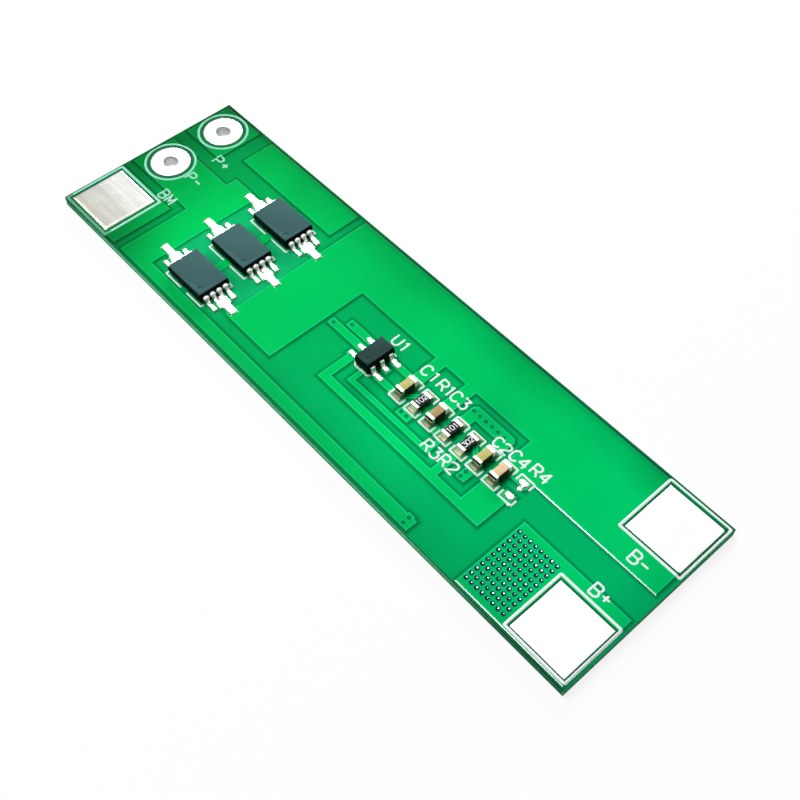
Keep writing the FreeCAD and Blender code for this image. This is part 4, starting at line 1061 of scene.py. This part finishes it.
print_line = printing_tree()
print("printing tree:", len(print_line.nodes), "nodes")

# %% [markdown]
# ## Strokes of the legend
# Board lettering is drawn with one pen width, so a letter is a few polylines on a grid that
# is four units wide and six high. The reference signs beside the parts are only the plain
# numbering of parts, and the signs at the pads name a polarity.

# %% Letters on a grid
LETTERS = {
    "B": (((0, 0), (0, 6), (2.6, 6), (3.6, 5.4), (3.8, 4.6), (3.4, 3.5), (2.6, 3.2), (0, 3.2)),
          ((2.6, 3.2), (3.6, 2.7), (4, 1.7), (3.6, 0.5), (2.6, 0), (0, 0))),
    "C": (((4, 4.7), (3.5, 5.6), (2.5, 6), (1.5, 6), (0.5, 5.4), (0, 4.3), (0, 1.7), (0.5, 0.6),
           (1.5, 0), (2.5, 0), (3.5, 0.4), (4, 1.3)),),
    "M": (((0, 0), (0, 6), (2, 1.5), (4, 6), (4, 0)),),
    "P": (((0, 0), (0, 6), (2.7, 6), (3.7, 5.4), (4, 4.4), (3.7, 3.4), (2.7, 2.8), (0, 2.8)),),
    "R": (((0, 0), (0, 6), (2.7, 6), (3.7, 5.4), (4, 4.4), (3.7, 3.4), (2.7, 2.8), (0, 2.8)),
          ((2, 2.8), (4, 0))),
    "U": (((0, 6), (0, 1.7), (0.5, 0.5), (1.5, 0), (2.5, 0), (3.5, 0.5), (4, 1.7), (4, 6)),),
    "0": (((1.4, 0), (0.4, 0.7), (0, 2), (0, 4), (0.4, 5.3), (1.4, 6), (2.6, 6), (3.6, 5.3),
           (4, 4), (4, 2), (3.6, 0.7), (2.6, 0), (1.4, 0)),),
    "1": (((1, 4.8), (2.2, 6), (2.2, 0)),),
    "2": (((0, 4.6), (0.3, 5.5), (1.3, 6), (2.7, 6), (3.7, 5.5), (4, 4.6), (3.7, 3.6), (0, 0),
           (4, 0)),),
    "3": (((0.3, 6), (3.8, 6), (2, 3.7), (2.8, 3.7), (3.7, 3.2), (4, 2.2), (4, 1.5), (3.6, 0.5),
           (2.6, 0), (1.2, 0), (0.3, 0.5), (0, 1.2)),),
    "4": (((3, 0), (3, 6), (0, 2), (4, 2)),),
    "+": (((0.3, 3), (3.7, 3)), ((2, 1.3), (2, 4.7))),
    "-": (((0.3, 3), (3.7, 3)),),
}
PEN = 0.17

# (text, left end, foot of the letters, height, advance as a share of the height)
SIGNS = (
    ("U1", 0.80, 1.72, 1.0, 0.86), ("C1", 4.55, 1.45, 1.0, 0.86), ("R1", 6.40, 1.45, 1.0, 0.78),
    ("C3", 7.90, 1.45, 1.0, 0.88), ("C2", 13.05, 0.98, 0.92, 0.90),
    ("C4", 14.72, 1.05, 1.0, 0.90), ("R4", 16.68, 1.30, 1.0, 0.88),
    ("R3", 9.65, -3.22, 1.0, 0.90), ("R2", 11.47, -3.20, 1.0, 0.88),
    ("B+", 26.17, -2.58, 1.08, 0.82), ("B-", 26.30, 1.32, 1.08, 0.82),
    ("P+", -25.05, 3.30, 1.0, 0.95), ("P-", -24.95, 0.20, 1.0, 0.95),
    ("BM", -24.85, -2.80, 1.0, 0.92))


def written(text, x, y, height, advance):
    unit = height / 6
    strokes = []
    for i, letter in enumerate(text):
        left = x + i * advance * height
        strokes += [[(left + u * unit, y + v * unit) for u, v in path] for path in LETTERS[letter]]
    return strokes


strokes = {"pen": [s for sign in SIGNS for s in written(*sign)]}
print("lettering strokes:", len(strokes["pen"]))

# %% [markdown]
# ## Frames, rings and part outlines
# A frame marks each weld pad and a ring each terminal. Corner brackets hug the lands of
# every chip place, and open lines show where the packages sit. Rings and the lines of the
# big packages take their place from the solids. Frames, brackets and the lines of the small
# package are given in millimetres, where they are seen on the board.

# %% Frames and rings
FRAMES = (
    (24.16, 2.97, 29.80, 8.72), (24.03, -8.64, 29.68, -2.96), (-29.78, -8.86, -23.92, -3.15))
FRAME_LINE = 0.22
RING_RADIUS, RING_LINE, RING_STEPS = 2.24, 0.2, 48
TURN = [2 * math.pi * i / RING_STEPS for i in range(RING_STEPS + 1)]

strokes["frame"] = [[(a, b), (c, b), (c, d), (a, d), (a, b)] for a, b, c, d in FRAMES]
strokes["ring"] = [[(x + RING_RADIUS * math.cos(a), y + RING_RADIUS * math.sin(a)) for a in TURN]
                   for x, y in (centre(name) for name in TERMINALS)]

# %% Part outlines
CHIP_LINE, CHIP_FIRST, CHIP_PITCH, CHIP_PLACES = -0.5, 5.15, 1.715, 8
BRACKET_HALF, BRACKET_NEAR, BRACKET_FAR, BRACKET_LINE = 0.65, 0.635, 1.29, 0.16
CASE_BACK, CASE_LEVEL, CASE_LINE = 1.30, 1.62, 0.15
CASE_ENDS, CASE_GAP = (-16.95, -12.15), (-14.90, -14.10)

strokes["bracket"] = []
for place in range(CHIP_PLACES):
    x = CHIP_FIRST + place * CHIP_PITCH
    low, high = x - BRACKET_HALF, x + BRACKET_HALF
    for side in (-1, 1):
        near, far = CHIP_LINE + side * BRACKET_NEAR, CHIP_LINE + side * BRACKET_FAR
        strokes["bracket"].append([(low, near), (low, far), (high, far), (high, near)])

strokes["case"] = []
for part in ("q1", "q2", "q3"):
    y = centre(part + "_case")[1]
    for side in (-1, 1):
        back, level = y + side * CASE_BACK, y + side * CASE_LEVEL
        for end, gap in zip(CASE_ENDS, CASE_GAP):
            stroke = [(end, back), (end, level), (gap, level)]
            strokes["case"].append(stroke if end < gap else stroke[::-1])
strokes["case"].append([(0.45, -1.68), (0.67, -1.90), (2.05, -1.90), (2.27, -1.68)])
strokes["case"].append([(1.80, 1.12), (2.12, 1.12), (2.24, 1.0)])
print({kind: len(paths) for kind, paths in strokes.items()})

# %% [markdown]
# ## Codes on the resistors
# Each resistor carries three plain figures that read across the row, printed on its black
# coat. The figures are ordinary value codes, chosen here.

# %% Resistor codes
CODES = {"r1": "102", "r3": "101", "r2": "302"}
CODE_HEIGHT = 0.42
CODE_ADVANCE = 0.82
CODE_PEN = 0.075


def coded(part, text):
    """Text that reads along +Y, centred on a coat."""
    x, y = centre(part + "_coat")
    flat = written(text, 0, 0, CODE_HEIGHT, CODE_ADVANCE)
    width = 2 * (CODE_ADVANCE * CODE_HEIGHT) + 4 / 6 * CODE_HEIGHT
    return [[(x + CODE_HEIGHT / 2 - v, y - width / 2 + u) for u, v in path] for path in flat]


strokes["code"] = [s for part, text in CODES.items() for s in coded(part, text)]

# %% [markdown]
# ## Print it all
# The ink has to land on mask, slopes and coats, so a stand-in that joins them is made for
# the tree to aim at and is thrown away after the printing.


# %% The surface under the screen
def surface_to_print_on():
    joined_up = bmesh.new()
    for name in ("solder_mask_top", "r1_coat", "r2_coat", "r3_coat"):
        joined_up.from_mesh(nodes[name].data)
    joined_up.from_mesh(slopes.data)
    return new_object("printing surface", settled(joined_up, "printing surface"))


def grown_mesh(name, source, tree, inputs):
    """The plain mesh that a tree makes on a source mesh."""
    carrier = new_object(name, source)
    modifier = carrier.modifiers.new(tree.name, "NODES")
    modifier.node_group = tree
    for item in tree.interface.items_tree:
        if item.in_out == "INPUT" and item.name in inputs:
            modifier[item.identifier] = inputs[item.name]
    ready = carrier.evaluated_get(bpy.context.evaluated_depsgraph_get())
    mesh = bpy.data.meshes.new_from_object(ready)
    carrier.modifiers.remove(modifier)
    bpy.data.objects.remove(carrier)
    return mesh


def path_mesh(paths):
    points, edges = [], []
    for path in paths:
        closed = path[0] == path[-1]
        path = path[:-1] if closed else path
        first = len(points)
        points += [(x * MM, y * MM, 0) for x, y in path]
        edges += [(first + i, first + i + 1) for i in range(len(path) - 1)]
        if closed:
            edges.append((len(points) - 1, first))
    mesh = bpy.data.meshes.new("paths")
    mesh.from_pydata(points, edges, [])
    return mesh


# %% Printing
# (kind of stroke, line width, height of the ink, step)
LINES = (("pen", PEN, 0.018, 0.05), ("frame", FRAME_LINE, 0.02, 0.1),
         ("ring", RING_LINE, 0.02, 0.1), ("bracket", BRACKET_LINE, 0.018, 0.06),
         ("case", CASE_LINE, 0.018, 0.06), ("code", CODE_PEN, 0.008, 0.025))
target = surface_to_print_on()
legend = bmesh.new()
for kind, width, height, step in LINES:
    printed = grown_mesh("legend_" + kind, path_mesh(strokes[kind]), print_line, {
        "Line width": width * MM, "Ink height": height * MM, "Step": step * MM,
        "Surface": target, "Ink": ink_finish})
    legend.from_mesh(printed)
legend_mesh = settled(legend, "legend")
bpy.data.objects.remove(target)
piece_of("legend", legend_mesh, ink_finish, smooth=50)
print("legend:", len(legend_mesh.polygons), "faces")

# %% [markdown]
# ## Via holes
# Small plated holes join the two sides, most of them crowded beside the B+ pad. The mask
# runs into each and leaves a soft collar round a dark dimple, or round a dark groove where
# it filled the hole. In the crowd a bright speck of solder sits on the same wall of each hole:
# a painted highlight, where the lamp shows in the dimple. Each shape is turned once as a
# small mesh, and a Geometry Nodes tree sets it on every hole, turned and sized a little
# differently from a fixed seed.


# %% The tree that sets collars
def setting_tree():
    tree, add, given = new_tree("set on holes", (
        ("Shape", "Object", None), ("Smallest", "Float", 0.9), ("Largest", "Float", 1.1),
        ("Seed", "Int", 4), ("Finish", "Material", None)))
    shape = add("GeometryNodeObjectInfo", Object=given["Shape"]).outputs["Geometry"]
    chance = partial(add, "FunctionNodeRandomValue", {"data_type": "FLOAT"}, Seed=given["Seed"])
    turn = chance(i2=0.0, i3=2 * math.pi).outputs[1]
    size = chance(i2=given["Smallest"], i3=given["Largest"]).outputs[1]
    angles = add("ShaderNodeCombineXYZ", Z=turn).outputs[0]
    scale = add("ShaderNodeCombineXYZ", X=size, Y=size, Z=1.0).outputs[0]
    angles = add("FunctionNodeEulerToRotation", Euler=angles).outputs[0]
    placed = add("GeometryNodeInstanceOnPoints", Points=given["Geometry"], Instance=shape,
                 Rotation=angles, Scale=scale).outputs[0]
    end_tree(add, placed, given["Finish"])
    return tree


# %% Holes, collars and dimples
COLLAR = ((0.150, 0.985), (0.154, 1.010), (0.166, 1.016), (0.180, 1.018), (0.196, 1.0160),
          (0.235, 1.0030), (0.265, 0.9995), (0.265, 0.985))
DISH = ((0.0, 1.0015), (0.07, 1.0025), (0.12, 1.005), (0.158, 1.012), (0.158, 0.985),
        (0.0, 0.985))
GROOVE = ((0.075, 0.985), (0.082, 1.006), (0.11, 1.010), (0.158, 1.012), (0.158, 0.985))
# Painted highlight: a bright speck on the same wall of each crowded hole.
HIGHLIGHT_SPECK = ((0.0, 1.034), (0.024, 1.032), (0.044, 1.024), (0.056, 1.010), (0.058, 1.000),
         (0.0, 1.000))
CENTRED, TOWARD_THE_HIGHLIGHT = Vector((0, 0)), Vector((0.015, 0.062))
CROWDED_FROM = 18.5
SMALL_TURNS = 14


def small_turning(name, section):
    points, faces = turned(section, 0, 0, SMALL_TURNS)
    shape = bmesh.new()
    verts = [shape.verts.new(Vector(p) * MM) for p in points]
    for face in faces:
        shape.faces.new([verts[i] for i in face])
    bmesh.ops.remove_doubles(shape, verts=shape.verts, dist=1e-8)
    bmesh.ops.recalc_face_normals(shape, faces=shape.faces)
    return new_object(name, settled(shape, name))


def hole_centres(crowded, off=CENTRED):
    mesh = bpy.data.meshes.new("hole centres")
    middles = [(Vector(low[:2]) + Vector(high[:2])) / 2 for low, high in islands("via_barrels")]
    mesh.from_pydata([(*(spot + off) * MM, 0) for spot in middles
                      if (spot.x > CROWDED_FROM) == crowded], [], [])
    return mesh


set_on_holes = setting_tree()
FITTINGS = (
    ("via_collars", hole_centres(True), COLLAR, mask_green, 0.90, 1.06, "solder_mask"),
    ("via_mouths", hole_centres(True), DISH, mouth_finish, 0.90, 1.06, "solder_mask"),
    ("via_specks", hole_centres(True, TOWARD_THE_HIGHLIGHT), HIGHLIGHT_SPECK, solder_finish, 0.75, 1.45, "solder"),
    ("lone_via_collars", hole_centres(False), COLLAR, mask_green, 0.70, 0.82, "solder_mask"),
    ("lone_via_mouths", hole_centres(False), GROOVE, mouth_finish, 0.70, 0.82, "solder_mask"))
for name, holes, section, finish, smallest, largest, slot in FITTINGS:
    shape = small_turning(name + "_shape", section)
    mesh = grown_mesh(name, holes, set_on_holes, {
        "Shape": shape, "Smallest": smallest, "Largest": largest, "Seed": 4, "Finish": finish})
    bpy.data.objects.remove(shape)
    piece_of(name, mesh, finish, smooth=60)
    print(name, len(mesh.polygons), "faces")

# %% [markdown]
# ## Floor and light
# The board lies on a plain pale floor. Light Path gives camera, mirror and glass rays a
# white floor and a white room, and all other rays see only a soft grey one, so the
# background is white without more light on the board. A broad lamp at the left is the key,
# as in the picture, where the sides that face the viewer are nearly black. A long low one at
# the back is the window that the wet edges and the tin mirror, and a small one in front puts
# the glint on the joints.


# %% Floor
FLOOR_HALF = 1.5
FLOOR_GLOW = 0.86
CHALK, WHITE = (0.95, 0.95, 0.95, 1), (1, 1, 1, 1)


def cleared(holder):
    """Empties the node tree of a material or a world: a way to add nodes to it."""
    holder.use_nodes = True
    holder.node_tree.nodes.clear()
    return lambda kind, *settings, **sockets: new_node(
        holder.node_tree, "ShaderNode" + kind, *settings, **sockets)


floor_finish = bpy.data.materials.new("pale_floor")
add = cleared(floor_finish)
rays = add("LightPath").outputs
seen = rays["Is Camera Ray"]
for ray in ("Is Glossy Ray", "Is Transmission Ray"):
    seen = add("Math", {"operation": "MAXIMUM"}, i0=seen, i1=rays[ray]).outputs[0]
share = add("Math", {"operation": "MULTIPLY"}, i0=seen, i1=FLOOR_GLOW).outputs[0]
chalk = add("BsdfDiffuse", Color=CHALK).outputs[0]
glow = add("Emission", Color=WHITE, Strength=1.0).outputs[0]
shown = add("MixShader", i0=share, i1=chalk, i2=glow).outputs[0]
add("OutputMaterial", Surface=shown)

floor_mesh = bpy.data.meshes.new("floor")
floor_mesh.from_pydata([(FLOOR_HALF * u, FLOOR_HALF * v, 0) for u, v in (
    (-1, -1), (1, -1), (1, 1), (-1, 1))], [], [(0, 1, 2, 3)])
floor_mesh.materials.append(floor_finish)
new_object("floor", floor_mesh)
print("floor:", 2 * FLOOR_HALF, "m wide")

# %% World
ROOM_LIGHT = 0.055
SKY = Vector((-0.35, 0.45, 0.82))
world = bpy.data.worlds.new("studio")
add = cleared(world)
facing = add("VectorMath", {"operation": "DOT_PRODUCT"}, i0=add("TexCoord").outputs["Generated"],
             i1=SKY).outputs["Value"]
mirrored = add("MapRange", Value=facing, From_Min=0.12, From_Max=0.5, To_Min=0.12,
               To_Max=1.06).outputs[0]
rays = add("LightPath").outputs
looked_at = add("Math", {"operation": "MAXIMUM"}, i0=rays["Is Camera Ray"],
                i1=rays["Is Transmission Ray"]).outputs[0]
glow = add("Mix", i0=rays["Is Glossy Ray"], i2=ROOM_LIGHT, i3=mirrored).outputs[0]
glow = add("Mix", i0=looked_at, i2=glow, i3=1.0).outputs[0]
add("OutputWorld", i0=add("Background", Color=WHITE, Strength=glow).outputs[0])
bpy.context.scene.world = world
print("room:", len(world.node_tree.nodes), "nodes")


# %% Lamps
def softbox(name, toward, distance, size, watts, depth=None):
    lamp = new_object(name, bpy.data.lights.new(name, "AREA"))
    lamp.data.shape = "ELLIPSE"
    lamp.data.size, lamp.data.size_y = size, depth or size
    lamp.data.energy = watts
    direction = Vector(toward).normalized()
    lamp.location = direction * distance
    lamp.rotation_euler = direction.to_track_quat("Z", "Y").to_euler()


softbox("key", (-0.47, -0.05, 0.88), 0.5, 0.26, 1.80)
softbox("window", (-0.567, 0.70, 0.433), 0.5, 0.38, 1.3, 0.07)
softbox("glint", (-0.182, -0.570, 0.790), 0.5, 0.12, 0.55, 0.09)
bpy.context.scene.view_settings.view_transform = "Standard"
